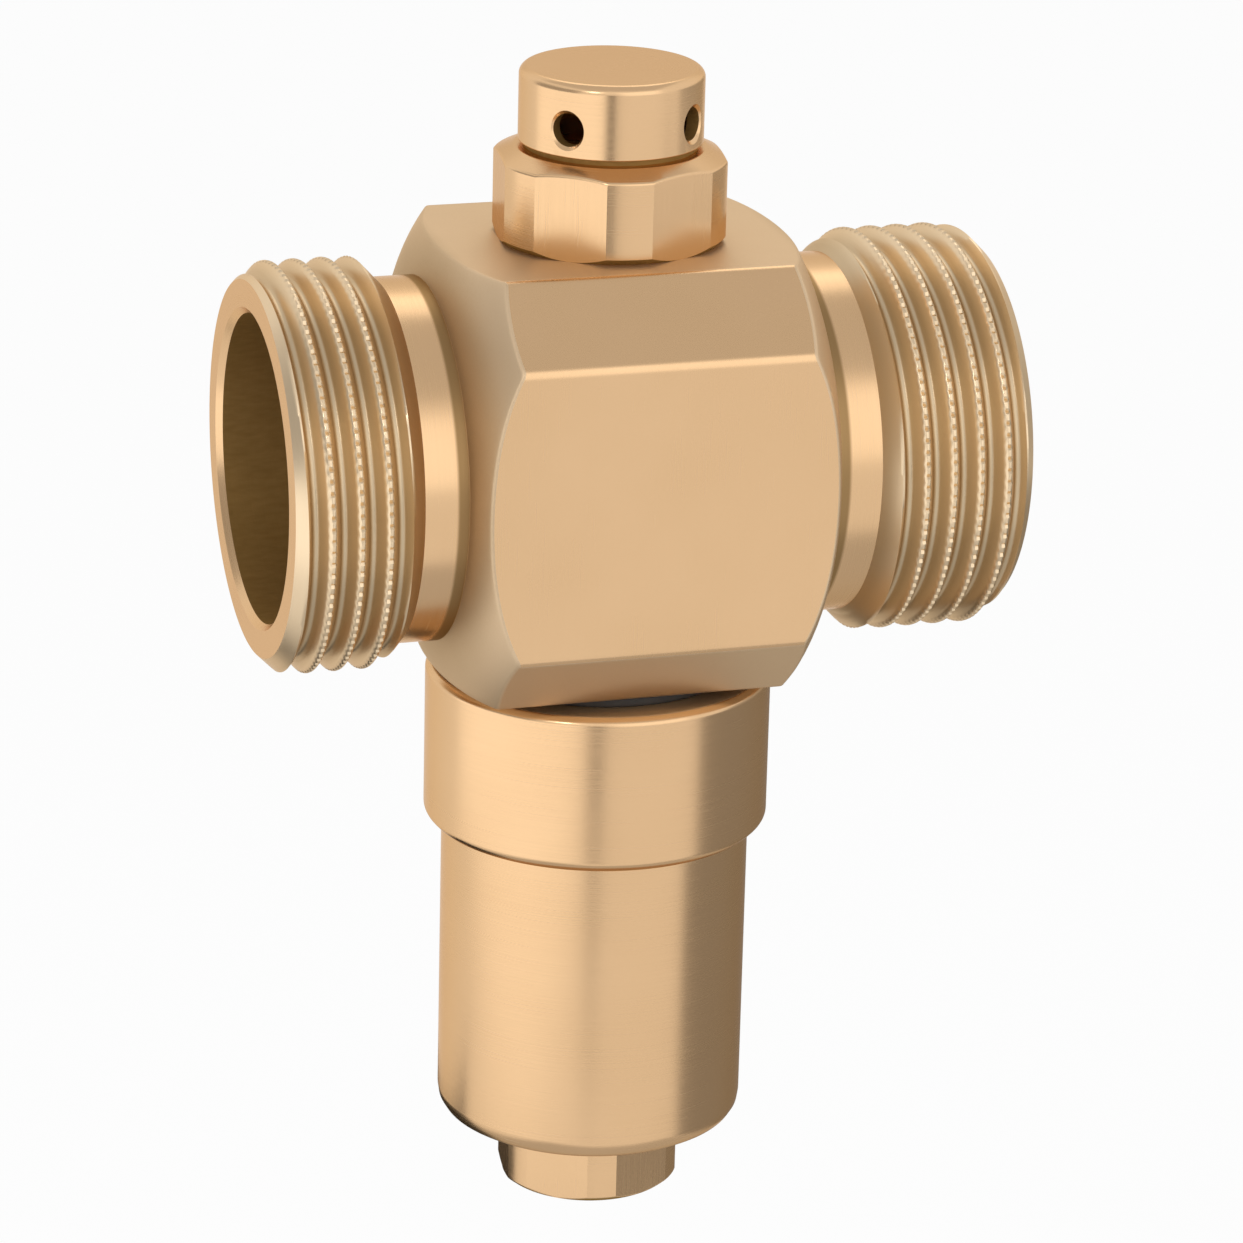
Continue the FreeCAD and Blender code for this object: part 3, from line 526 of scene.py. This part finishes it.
def corner_rows(section, i):
    """Rows of (along, radius) round one corner of a section of (radius, height, ease) in mm."""
    radius, height, ease = section[i]
    corner = np.array([height, radius]) * MM
    if not ease:
        return [corner]
    ends = []
    for near in (section[i - 1], section[(i + 1) % len(section)]):
        way = np.array([near[1], near[0]]) * MM - corner
        ends.append(corner + way * min(ease * MM / np.linalg.norm(way), 0.5))
    return eased(ends[0], corner, ends[1])


def turned(name, section, finish=TURNED, materials=()):
    """A solid turned about the valve's upright axis."""
    mesh = bmesh.new()
    angles = np.arange(TURN_SIDES) * TAU / TURN_SIDES
    rows = [row for i in range(len(section)) for row in corner_rows(section, i)]
    skin(mesh, rows, about_upright(angles), [finish], closed=True)
    return settled(mesh, name, materials)


def drilled(mesh, tool):
    """The mesh after a tool's solid has been taken away from it."""
    carrier = placed(mesh.name, mesh)
    cutter = placed(tool.name, tool)
    modifier = carrier.modifiers.new("drilled", "BOOLEAN")
    modifier.operation = "DIFFERENCE"
    modifier.solver = "MANIFOLD"
    modifier.object = cutter
    made = finished_mesh(carrier)
    bpy.data.objects.remove(cutter)
    return made


def block_rows(even, angles, radii):
    """Rows over the octagon and its two domes, from the inlet's neck to the outlet's."""
    centre_x = SHOULDER / 2 - math.sqrt(DOME_R**2 - DOME_DROP**2)
    centre_r = NECK_R - DOME_DROP
    start = math.asin(DOME_DROP / DOME_R)
    stop = np.arcsin((radii - centre_r) / DOME_R)

    def on_dome(angle):
        return centre_x + DOME_R * np.cos(angle), centre_r + DOME_R * np.sin(angle)

    half = [(SHOULDER / 2 + NECK_LENGTH, NECK_R, even)]
    last = stop - EDGE_BREAK / DOME_R
    for share in np.linspace(0, 1, DOME_ROWS):
        half.append((*on_dome(start + (last - start) * share), even + (angles - even) * share))
    edge_x, _ = on_dome(stop)
    ease = eased(on_dome(last), (edge_x, radii), (edge_x - EDGE_BREAK, radii))
    half += [(x, r, angles) for x, r in ease[1:]]
    inlet = [(UPRIGHT_X - x, r, a) for x, r, a in half]
    outlet = [(UPRIGHT_X + x, r, a) for x, r, a in reversed(half)]
    return inlet + outlet


def bore_rows(even):
    """Rows from the inlet's end face through the waterway to the outlet's end face."""
    low, high = body_low.x, body_high.x
    rim = THREAD_R - LEAD
    rows = [(low, rim), (low, BORE_R + MOUTH)]
    rows += [(x, BORE_R) for x in np.linspace(low + MOUTH, high - MOUTH, BORE_ROWS)]
    rows += [(high, BORE_R + MOUTH), (high, rim)]
    return [(x, r, even) for x, r in rows]


def valve_body_mesh():
    """The whole forging, before its two ports are drilled."""
    corner_r = (2 * FLAT_R - BODY_CORNER) / math.sqrt(2)
    flats = [(i * TAU / 8, (FLAT_R, corner_r)[i % 2]) for i in range(8)]
    faces = broken_edges(flats, EDGE_BREAK)
    angles, radii = outline(faces, [FLAT_STEPS, BREAK_STEPS, CORNER_STEPS, BREAK_STEPS] * 4)
    even = (np.arange(SIDES) - FLAT_STEPS // 2) * TAU / SIDES
    mesh = bmesh.new()
    rows = block_rows(even, angles, radii)
    dome = [FORGED] * (DOME_ROWS + EASE_ROWS - 2)
    finishes = [TURNED, *dome, MILLED, *dome, TURNED]
    skin(mesh, rows, about_run, finishes)
    bore = bore_rows(even)
    # The waterway takes the dark raw brass, painted shade inside the bore
    skin(mesh, bore, about_run, [TURNED, TURNED] + [SHADED_RAW] * (BORE_ROWS - 1) + [TURNED, TURNED])
    tree = thread_tree()
    reach = SHOULDER / 2 + NECK_LENGTH
    for neck_x, end_x, crest_x in (
        (UPRIGHT_X - reach, body_low.x, INLET_CREST_X),
        (UPRIGHT_X + reach, body_high.x, OUTLET_CREST_X),
    ):
        done = len(mesh.faces)
        mesh.from_mesh(thread_mesh(tree, neck_x, end_x, crest_x))
        mesh.faces.ensure_lookup_table()
        for face in mesh.faces[done:]:
            face.material_index = THREADED
    made = settled(mesh, "valve_body_turned", body_finishes)
    for face in made.polygons:
        if face.material_index == MILLED and not UNDERSIDE < face.normal.z < TOP_FACE:
            face.material_index = FORGED
    return made


bodies = {n: body for body, nodes in frame["record"]["behaviour"]["bodies"].items() for n in nodes}


def dress(name, mesh, node, sharp=SHARP_ANGLE, rides=True):
    """Show a mesh in place of a CAD node, on the body that the node rides on, crisp from this angle up."""
    mesh.name = name
    mesh.shade_smooth()
    mesh.set_sharp_from_angle(angle=sharp)
    piece = placed(name, mesh)
    even = piece.modifiers.new("even_shading", "WEIGHTED_NORMAL")
    even.keep_sharp = True
    if rides:
        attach(piece, bodies[node])
    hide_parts(node)
    return piece


AIR_PORT = [(0, 0, 0), (6.6, 0, 0), (6.6, 16.65, 0), (7.7, 16.65, 0), (7.7, 18.5, 0), (0, 18.5, 0)]
DRAIN_PORT = [(0, 0, 0), (9.95, 0, 0), (9.95, -17.25, 0), (11.2, -18.5, 0), (0, -18.5, 0)]
body_mesh = valve_body_mesh()
# The two ports' walls take the dark raw brass, painted shade in the drillings
for port, section in (("air_port", AIR_PORT), ("drain_port", DRAIN_PORT)):
    body_mesh = drilled(body_mesh, turned(port, section, SHADED_RAW, body_finishes))
dress("body_casting", body_mesh, "valve_body")

# Vacuum breaker's base: a brass bar turned to a crown and a screwed spigot, with six flats milled on it
# for a spanner. It stands on the block, on a rubber sealing ring let into the port's mouth.
HEX_TURN = math.radians(-6.75)
FLAT_COLUMNS, LAND_COLUMNS = 16, 8
HEX_SHARP = math.radians(19)
UPRIGHT_FACE, FLAT_PLAY = 0.05, 0.05
BREAKER_FLATS = 18.0
upright_brass = metal("turned_brass_upright", upright_marks, BRASS, BRASS_ROUGHNESS)
upright_finishes = (upright_brass, milled_brass, shaded_raw_brass)
BASE_SECTION = [
    (5.3, 12.7, 0), (6.05, 12.7, 0), (6.55, 13.2, 0), (6.55, 17.75, 0), (9.0, 17.75, 0), (9.5, 18.25, 0),
    (9.5, 24.45, 0.2), (7.75, 25.25, 0.1), (6.23, 25.25, 0), (6.23, 26.45, 0), (4.8, 26.45, 0),
    (4.8, 21.2, 0), (2.8, 21.2, 0.15), (2.8, 19.6, 0.15), (5.3, 19.6, 0),
]


def milled_hexagon(name, section, across):
    """A solid turned about the upright axis, with six flats milled on its widest part, so far across."""
    widest = max(radius for radius, _, _ in section)
    half = math.acos(across / 2 / widest)
    flat = np.linspace(-half, half, FLAT_COLUMNS, endpoint=False)
    land = np.linspace(half, TAU / 6 - half, LAND_COLUMNS, endpoint=False)
    angles = np.concatenate([HEX_TURN + i * TAU / 6 + np.append(flat, land) for i in range(6)])
    cut = np.tile(np.append(widest - across / 2 / np.cos(flat), np.zeros(LAND_COLUMNS)), 6)
    rows = []
    for i, (radius, height, _) in enumerate(section):
        narrow, wide = sorted((section[i - 1], section[(i + 1) % len(section)]))
        low, high = sorted((narrow[1] * MM, wide[1] * MM))
        for along, reach in corner_rows(section, i):
            if radius == widest:
                drop = cut * (narrow[1] - height) / (radius - narrow[0])
                shifted = np.clip(along + drop * MM, low, high)
                rows.append((shifted, np.maximum(reach - cut * MM, narrow[0] * MM)))
            else:
                rows.append((along, np.minimum(reach, (widest - cut) * MM)))
    mesh = bmesh.new()
    skin(mesh, rows, about_upright(angles), [TURNED], closed=True)
    made = settled(mesh, name, upright_finishes)
    for face in made.polygons:
        x, y = face.center.x - UPRIGHT_X, face.center.y
        from_flat = (math.atan2(y, x) - HEX_TURN + TAU / 12) % (TAU / 6) - TAU / 12
        outside = math.hypot(x, y) > (across / 2 - FLAT_PLAY) * MM
        if outside and abs(face.normal.z) < UPRIGHT_FACE and abs(from_flat) < half:
            face.material_index = MILLED
        # Faces that look down take the dark raw brass, as painted shade under the hexagon
        elif face.normal.z < UNDERSIDE:
            face.material_index = SHADED_RAW
    return made


dress("breaker_hexagon", milled_hexagon("base", BASE_SECTION, BREAKER_FLATS), "breaker_base", HEX_SHARP)

RING_SIDES = 20
BREAKER_RING = (7.15, 17.2, 1.0)
MOULD_CLOUDS = 0.6
MOULD_DULLS = 0.2
MOULD_DEPTH = 0.02 * MM
RUBBER = [(0.018, 0.018, 0.018, 1), (0.04, 0.038, 0.036, 1)]


def moulded(name, colours, roughness, grain, depth):
    """A moulded material with a fine grain, cloudy between two colours."""
    material, tree, shader = new_material(name)
    place = tree.vector(*surface_place(tree))
    cloud = tree.noise(place, MOULD_CLOUDS, 4)
    fine = tree.noise(place, grain, 2)
    links = material.node_tree.links
    links.new(tree.mix(cloud, *colours).socket, shader.inputs["Base Color"])
    links.new((roughness + (fine - 0.5) * MOULD_DULLS).socket, shader.inputs["Roughness"])
    sockets = {"Strength": depth, "Distance": MOULD_DEPTH, "Height": fine}
    links.new(tree.wire("ShaderNodeBump", 0, None, sockets).socket, shader.inputs["Normal"])
    return material


rubber = moulded("seal_rubber", RUBBER, roughness=0.7, grain=9.0, depth=0.5)


def cord_section(radius, height, cord):
    """The section of a ring of round cord: the cord's centre and its thickness, in mm."""
    turns = np.arange(RING_SIDES) * TAU / RING_SIDES
    return [(radius + cord / 2 * math.cos(a), height + cord / 2 * math.sin(a), 0) for a in turns]


dress("breaker_ring", turned("ring", cord_section(*BREAKER_RING), materials=[rubber]), "breaker_seal")

# Air valve inside the base: a moulded shutter with a rubber face. Water pressure holds it up against its
# seat, and suction draws it open against a fine steel spring, which stands on a moulded spider.
ACETAL = [(0.80, 0.79, 0.74, 1), (0.86, 0.85, 0.80, 1)]
STEEL = [(0.60, 0.60, 0.61, 1), (0.52, 0.52, 0.53, 1), (0.20, 0.19, 0.18, 1), (0.95, 0.95, 0.95, 1)]
COIL_STEPS = 40
WIRE_SIDES = 12
acetal = moulded("moulded_acetal", ACETAL, roughness=0.45, grain=3.0, depth=0.2)
drawn_steel = metal("drawn_steel", upright_marks, STEEL, roughness=0.3)


def coat(material, *nodes):
    """Give CAD nodes this material."""
    for node in nodes:
        for place in frame["nodes"][node].material_slots:
            place.material = material


def spring_tree():
    """A coil of round wire round the upright axis, between two seats."""
    floats = ("Turns", "Coil Radius", "Wire", "Foot", "Length")
    tree, given = geometry_tree("coil_spring", {**dict.fromkeys(floats, "Float"), "Material": "Material"})
    sockets = {"Resolution": COIL_STEPS, "Rotations": given["Turns"], "Start Radius": given["Coil Radius"],
               "End Radius": given["Coil Radius"], "Height": given["Length"] - given["Wire"]}
    coil = tree.wire("GeometryNodeCurveSpiral", 0, None, sockets)
    sockets = {"Resolution": WIRE_SIDES, "Radius": given["Wire"] * 0.5}
    profile = tree.wire("GeometryNodeCurvePrimitiveCircle", 0, None, sockets)
    sockets = {"Curve": coil, "Profile Curve": profile, "Fill Caps": True}
    wire = tree.wire("GeometryNodeCurveToMesh", 0, None, sockets)
    foot = tree.vector(UPRIGHT_X, 0.0, given["Foot"] + given["Wire"] * 0.5)
    coil = tree.wire("GeometryNodeTransform", 0, None, {"Geometry": wire, "Translation": foot})
    close_tree(tree, coil, given["Material"])
    return tree


coil_tree = spring_tree()


def spring_mesh(node, turns, coil, wire):
    """A coil of so many turns, its wire's centre at this radius in mm, in the height of its CAD node."""
    low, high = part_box(node)
    return grown(coil_tree, {
        "Turns": turns, "Coil Radius": coil * MM, "Wire": wire * MM,
        "Foot": low.z, "Length": high.z - low.z, "Material": drawn_steel,
    })


shutter_coil = spring_mesh("breaker_spring", turns=3, coil=3.2, wire=0.4)
shutter_spring = dress("shutter_spring", shutter_coil, "breaker_spring")
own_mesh(shutter_spring)
coat(acetal, "breaker_shutter", "breaker_guide")
coat(rubber, "shutter_seal")

# Breaker's cap: turned brass, pressed on the base's collar, with four countersunk air holes drilled
# through its side. The air chamber inside is raw brass as the drill left it, darkened as painted shade.
CAP_R = 7.45
CAP_SECTION = [
    (6.25, 25.25, 0), (7.0, 25.25, 0), (7.0, 25.7, 0.08), (CAP_R, 25.7, 0.12), (CAP_R, 31.25, 0.3),
    (7.0, 31.7, 0.3), (0, 31.7, 0), (0, 30.3, 0), (6.25, 30.3, 0.2),
]
AIR_HOLES = 4
AIR_HOLE_R, AIR_HOLE_Z = 1.35, 27.9
AIR_HOLE_TURN = math.radians(45)
COUNTERSINK = 0.28
CHAMBER_TOP, WALL_PLAY = 31, 0.05
DRILL_SIDES = 48


def air_hole_tree():
    """Countersunk holes drilled through a round wall, evenly about the upright axis."""
    floats = ("Wall Radius", "Hole Radius", "Hole Height", "Countersink", "Turn")
    inputs = {"Wall": "Geometry", **dict.fromkeys(floats, "Float"), "Holes": "Int", "Material": "Material"}
    tree, given = geometry_tree("air_holes", inputs)
    sockets = {"Vertices": given["Holes"], "Radius": given["Wall Radius"]}
    spots = tree.wire("GeometryNodeMeshCircle", 0, None, sockets)
    x, y, _ = tree.split(tree.wire("GeometryNodeInputPosition"))
    turn = tree.vector(0.0, 0.0, tree.math("ARCTAN2", y, x))
    across = tree.wire("FunctionNodeEulerToRotation", 0, None, {0: turn})
    reach, sink = given["Wall Radius"], given["Countersink"]
    drill = {"Vertices": DRILL_SIDES, "Radius": given["Hole Radius"], "Depth": reach}
    cone = {"Vertices": DRILL_SIDES, "Radius Bottom": given["Hole Radius"], "Depth": sink * 4,
            "Radius Top": given["Hole Radius"] + sink * 4}
    pierced = given["Wall"]
    for kind, sizes, offset in (
        ("GeometryNodeMeshCylinder", drill, 0.0),
        ("GeometryNodeMeshCone", cone, sink * -1),
    ):
        tool = tree.wire(kind, 0, None, sizes)
        outward = tree.vector(offset, 0.0, 0.0)
        sockets = {"Geometry": tool, "Rotation": (0, TAU / 4, 0), "Translation": outward}
        tool = tree.wire("GeometryNodeTransform", 0, None, sockets)
        sockets = {"Points": spots, "Instance": tool, "Rotation": across}
        tools = tree.wire("GeometryNodeInstanceOnPoints", 0, None, sockets)
        sockets = {"Geometry": tree.wire("GeometryNodeRealizeInstances", 0, None, {"Geometry": tools}),
                   "Rotation": tree.vector(0.0, 0.0, given["Turn"]),
                   "Translation": tree.vector(UPRIGHT_X, 0.0, given["Hole Height"])}
        tools = tree.wire("GeometryNodeTransform", 0, None, sockets)
        settings = {"operation": "DIFFERENCE", "solver": "MANIFOLD"}
        pierced = tree.wire("GeometryNodeMeshBoolean", 0, settings, {"Mesh 1": pierced, "Mesh 2": tools})
    close_tree(tree, pierced, given["Material"])
    return tree


cap_mesh = grown(air_hole_tree(), {
    "Wall Radius": CAP_R * MM, "Hole Radius": AIR_HOLE_R * MM, "Hole Height": AIR_HOLE_Z * MM,
    "Countersink": COUNTERSINK * MM, "Turn": AIR_HOLE_TURN, "Holes": AIR_HOLES, "Material": upright_brass,
}, turned("cap", CAP_SECTION, materials=upright_finishes))
# The chamber's inside faces take the dark raw brass, as painted shade inside the cap
for face in cap_mesh.polygons:
    from_axis = math.hypot(face.center.x - UPRIGHT_X, face.center.y)
    if from_axis < (CAP_R - COUNTERSINK - WALL_PLAY) * MM and face.center.z < CHAMBER_TOP * MM:
        face.material_index = SHADED_RAW
dress("breaker_cap_turned", cap_mesh, "breaker_cap")

# Drain collar: a wide ring turned from brass bar, screwed up into the block's lower port on a flat rubber
# seal. It carries the sleeve in its inner thread, and its top face was left as forged.
COLLAR_FACE = 0.9
COLLAR_SEAL = [(9.95, -18.55, 0), (11.6, -18.55, 0.25), (11.6, -17.75, 0.25), (9.95, -17.75, 0)]
COLLAR_SECTION = [
    (8, -12.7, 0), (8, -23.55, 0), (11.3, -23.55, 0), (11.3, -31.45, 0), (11.8, -31.95, 0),
    (13.7, -31.95, 0.2), (14.3, -31.35, 0.3), (14.3, -19.05, 0.25), (13.8, -18.55, 0.25),
    (9.9, -18.55, 0), (9.9, -13.2, 0), (9.4, -12.7, 0),
]
dress("collar_flat_seal", turned("seal", COLLAR_SEAL, materials=[rubber]), "collar_seal")
collar_mesh = turned("collar", COLLAR_SECTION, materials=(upright_brass, forged_brass))
for face in collar_mesh.polygons:
    if face.normal.z > COLLAR_FACE:
        face.material_index = 1
dress("drain_collar_turned", collar_mesh, "drain_collar")

# Wax element: a drawn copper bulb full of wax, standing in the waterway and rolled on to a brass piston
# guide, which a nut clamps to a slotted brass disc. The wax pushes a steel piston out of the guide.
COPPER = [(0.72, 0.40, 0.27, 1), (0.64, 0.33, 0.21, 1), (0.25, 0.13, 0.08, 1), (0.90, 0.70, 0.58, 1)]
WAX = [(0.82, 0.75, 0.55, 1), (0.88, 0.82, 0.64, 1)]
BULB_SECTION = [
    (4.8, -22.05, 0), (5.5, -22.05, 0.1), (5.5, -20.7, 0.15), (5.25, -20.35, 0.15), (5.25, -20.05, 0.15),
    (5.5, -19.7, 0.15), (5.5, 0.95, 1.9), (0, 0.95, 0), (0, 0.25, 0), (4.8, 0.25, 1.2),
]
drawn_copper = metal("drawn_copper", upright_marks, COPPER, roughness=0.32)
dress("copper_bulb", turned("bulb", BULB_SECTION, materials=[drawn_copper]), "wax_bulb")
coat(moulded("paraffin_wax", WAX, roughness=0.5, grain=1.5, depth=0.1), "wax_charge")
coat(upright_brass, "wax_guide", "element_carrier", "element_nut")
coat(drawn_steel, "wax_piston")

# Obturator: a turned brass cup on a slotted flange that slides in the sleeve, with a rubber face under it.
# Inside, a steel spring gives way when the piston pushes further than the shut drain lets it.
coat(upright_brass, "obturator")
coat(rubber, "obturator_seal")
coat(drawn_steel, "pusher", "pusher_clip")
cup_coil = spring_mesh("overtravel_spring", turns=4, coil=3.6, wire=0.8)
cup_spring = dress("cup_spring", cup_coil, "overtravel_spring")
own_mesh(cup_spring)
lift_coil = spring_mesh("contrast_spring", turns=5, coil=7.8, wire=1.0)
lift_spring = dress("lift_spring", lift_coil, "contrast_spring", rides=False)
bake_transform(lift_spring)

# Drain sleeve: a long cup turned from brass bar, with a rounded foot. It is screwed up into the collar on
# a rubber sealing ring, and the obturator slides in its bore.
SLEEVE_RING = (10.75, -30.6, 1.0)
SLEEVE_SECTION = [
    (5.3, -58.35, 0), (12.8, -58.35, 1.7), (12.8, -31.95, 0.06), (11.25, -31.95, 0), (11.25, -31.15, 0),
    (10.2, -31.15, 0), (10.2, -30.05, 0), (11.25, -30.05, 0), (11.25, -25.45, 0), (10.75, -24.95, 0),
    (9.2, -24.95, 0), (9.2, -53.85, 0), (5.3, -53.85, 0),
]
dress("sleeve_ring", turned("ring", cord_section(*SLEEVE_RING), materials=[rubber]), "sleeve_seal")
dress("drain_sleeve_turned", turned("sleeve", SLEEVE_SECTION, materials=upright_finishes), "drain_sleeve")

# Drain nipple: a turned brass outlet with six milled flats, screwed up through the sleeve's floor
# on a sealing ring. The lip at its top is the seat that the obturator shuts.
NIPPLE_FLATS = 14.4
NIPPLE_RING = (4.8, -57.05, 0.9)
NIPPLE_SECTION = [
    (3.8, -64.55, 0), (7.2, -64.55, 0), (7.7, -64.15, 0.12), (7.7, -58.85, 0.12), (7.2, -58.35, 0),
    (5.25, -58.35, 0), (5.25, -57.55, 0), (4.3, -57.55, 0), (4.3, -56.55, 0), (5.25, -56.55, 0),
    (5.25, -49.75, 0), (4.3, -49.75, 0), (4.3, -48.55, 0.2), (3.3, -48.55, 0.2), (3.3, -64.05, 0),
]
dress("nipple_ring", turned("ring", cord_section(*NIPPLE_RING), materials=[rubber]), "nipple_seal")
nipple_mesh = milled_hexagon("nipple", NIPPLE_SECTION, NIPPLE_FLATS)
dress("nipple_hexagon", nipple_mesh, "drain_nipple", HEX_SHARP)

# Camera: a long lens from the front left and a little above, turned and tilted as in the photograph,
# so that the valve hangs a little out of plumb in the frame.
VIEW_AZIMUTH, VIEW_ELEVATION, VIEW_ROLL = (math.radians(a) for a in (-17.086, 17.598, 1.383))
VIEW_PAN, VIEW_TILT = (math.radians(a) for a in (0.244, -1.909))
VIEW_DISTANCE = 0.43078
LENS = 152.9
back = Vector((
    math.sin(VIEW_AZIMUTH) * math.cos(VIEW_ELEVATION),
    -math.cos(VIEW_AZIMUTH) * math.cos(VIEW_ELEVATION),
    math.sin(VIEW_ELEVATION),
))
right = Vector((math.cos(VIEW_AZIMUTH), math.sin(VIEW_AZIMUTH), 0))
above = back.cross(right)
ahead = (right * math.tan(VIEW_PAN) + above * math.tan(VIEW_TILT) - back).normalized()
right = (right - ahead * right.dot(ahead)).normalized()
above = right.cross(ahead)
across = right * math.cos(VIEW_ROLL) + above * math.sin(VIEW_ROLL)
upward = above * math.cos(VIEW_ROLL) - right * math.sin(VIEW_ROLL)
camera = placed("camera", bpy.data.cameras.new("camera"))
camera.data.lens = LENS
camera.data.clip_start = 0.01
camera.matrix_world = Matrix.Translation(Vector((UPRIGHT_X, 0, 0)) + back * VIEW_DISTANCE) @ Matrix(
    (across, upward, -ahead)
).transposed().to_4x4()
bpy.context.scene.camera = camera

# Floor and studio light: a white sweep well below the valve, which hangs from its pipe, and soft boxes on
# the left, in front and behind. Grey cards hang round the valve, because satin brass shows its shape
# by what it mirrors, and one small lamp draws the row of bright beads on the thread crests.
FLOOR_DROP = 0.14
FLOOR_SIZE = 6.0
FLOOR_GLOW = 0.85
FLOOR_WHITE = (0.9, 0.9, 0.9, 1)
FLOOR_ROUGHNESS = 0.9
ROOM_LIGHT = 0.9
WHITE = (1, 1, 1, 1)


def seen_directly(tree):
    """1 for what the camera sees, straight or in metal and glass, and 0 for light on the object."""
    path = tree.node("ShaderNodeLightPath")
    kinds = ("Is Camera Ray", "Is Glossy Ray", "Is Transmission Ray")
    straight, mirrored, through = (Wire(tree, path.outputs[kind]) for kind in kinds)
    return tree.math("MINIMUM", straight + mirrored + through, 1.0)


def flat_sheet(name, width, height, material):
    """A flat rectangle of one material, put in the scene."""
    mesh = bmesh.new()
    bmesh.ops.create_grid(mesh, x_segments=1, y_segments=1, size=0.5)
    bmesh.ops.scale(mesh, vec=(width, height, 1), verts=mesh.verts)
    data = bpy.data.meshes.new(name)
    mesh.to_mesh(data)
    mesh.free()
    data.materials.append(material)
    return placed(name, data)


floor_material, tree, shader = new_material("white_sweep")
shader.inputs["Base Color"].default_value = FLOOR_WHITE
shader.inputs["Roughness"].default_value = FLOOR_ROUGHNESS
glow = tree.wire("ShaderNodeEmission", 0, None, {"Color": WHITE, "Strength": 1.0})
sockets = {0: seen_directly(tree) * FLOOR_GLOW, 1: Wire(tree, shader.outputs[0]), 2: glow}
shown = tree.wire("ShaderNodeMixShader", 0, None, sockets)
tree.made.links.new(shown.socket, tree.made.nodes["Material Output"].inputs["Surface"])

floor = flat_sheet("floor", FLOOR_SIZE, FLOOR_SIZE, floor_material)
floor.location = (UPRIGHT_X, 0, cad_box[0].z - FLOOR_DROP)

world = bpy.data.worlds.new("white_room")
world.use_nodes = True
bpy.context.scene.world = world
tree = Tree(world.node_tree)
room = world.node_tree.nodes["Background"]
room.inputs["Color"].default_value = WHITE
room.inputs["Strength"].default_value = ROOM_LIGHT
white = tree.wire("ShaderNodeBackground", 0, None, {"Color": WHITE, "Strength": 1.0})
sockets = {0: seen_directly(tree), 1: Wire(tree, room.outputs[0]), 2: white}
shown = tree.wire("ShaderNodeMixShader", 0, None, sockets)
tree.made.links.new(shown.socket, tree.made.nodes["World Output"].inputs["Surface"])


def aim(thing, azimuth, elevation, distance, height=0.0):
    """Hang a thing round the valve, facing the upright axis at this height; azimuth 0 is in front."""
    a, e = math.radians(azimuth), math.radians(elevation)
    direction = Vector((math.sin(a) * math.cos(e), -math.cos(a) * math.cos(e), math.sin(e)))
    thing.location = Vector((UPRIGHT_X, 0, height)) + direction * distance
    thing.rotation_mode = "QUATERNION"
    thing.rotation_quaternion = (-direction).to_track_quat("-Z", "Y")


def soft_box(name, place, width, height, power):
    """A lamp behind a rectangle of diffuser, this wide and high in metres."""
    data = bpy.data.lights.new(name, "AREA")
    data.shape = "RECTANGLE"
    data.size = width
    data.size_y = height
    data.energy = power
    aim(placed(name, data), *place)


def card(name, place, width, height, grey):
    """A card that glows an even grey of its own, hung where only the metal mirrors it; it shows only in
    the metal's reflections and casts no shadow.
    """
    material, _, shader = new_material(name)
    shader.inputs["Base Color"].default_value = (0, 0, 0, 1)
    shader.inputs["Specular IOR Level"].default_value = 0.0
    shader.inputs["Emission Color"].default_value = (grey, grey, grey, 1)
    shader.inputs["Emission Strength"].default_value = 1.0
    material.cycles.emission_sampling = "NONE"
    screen = flat_sheet(name, width, height, material)
    aim(screen, *place)
    screen.visible_camera = False
    screen.visible_shadow = False
    screen.visible_diffuse = False


# A place is azimuth and elevation in degrees, then distance and, where given, height in metres
soft_box("left_soft_box", (-72, 0, 0.33, -0.1), 0.72, 0.2, 0.2)
soft_box("front_soft_box", (20, 20, 0.5), 0.45, 0.4, 0.24)
soft_box("back_soft_box", (163, 50, 0.5), 0.25, 0.2, 0.14)
soft_box("bead_lamp", (-40, 32, 0.5), 0.06, 0.06, 0.14)
card("ceiling_card", (0, 90, 0.5), 0.8, 0.8, 0.68)
card("under_card", (0, -90, 0.18), 0.3, 0.3, 0.6)
card("right_card", (103, 0, 0.15, -0.115), 0.35, 0.15, 0.32)
card("far_right_card", (105, 0, 0.34, -0.02), 0.4, 0.13, 0.5)
card("left_card", (-90, 18, 0.4), 0.5, 0.25, 0.45)
card("low_left_card", (-150, 0, 0.08, -0.133), 0.1, 0.08, 0.03)
card("back_card", (163, 18, 0.6), 0.6, 0.3, 0.88)
card("camera_card", (-17, -18, 0.5), 0.08, 0.4, 0.1)

bpy.context.scene.view_settings.view_transform = "Standard"
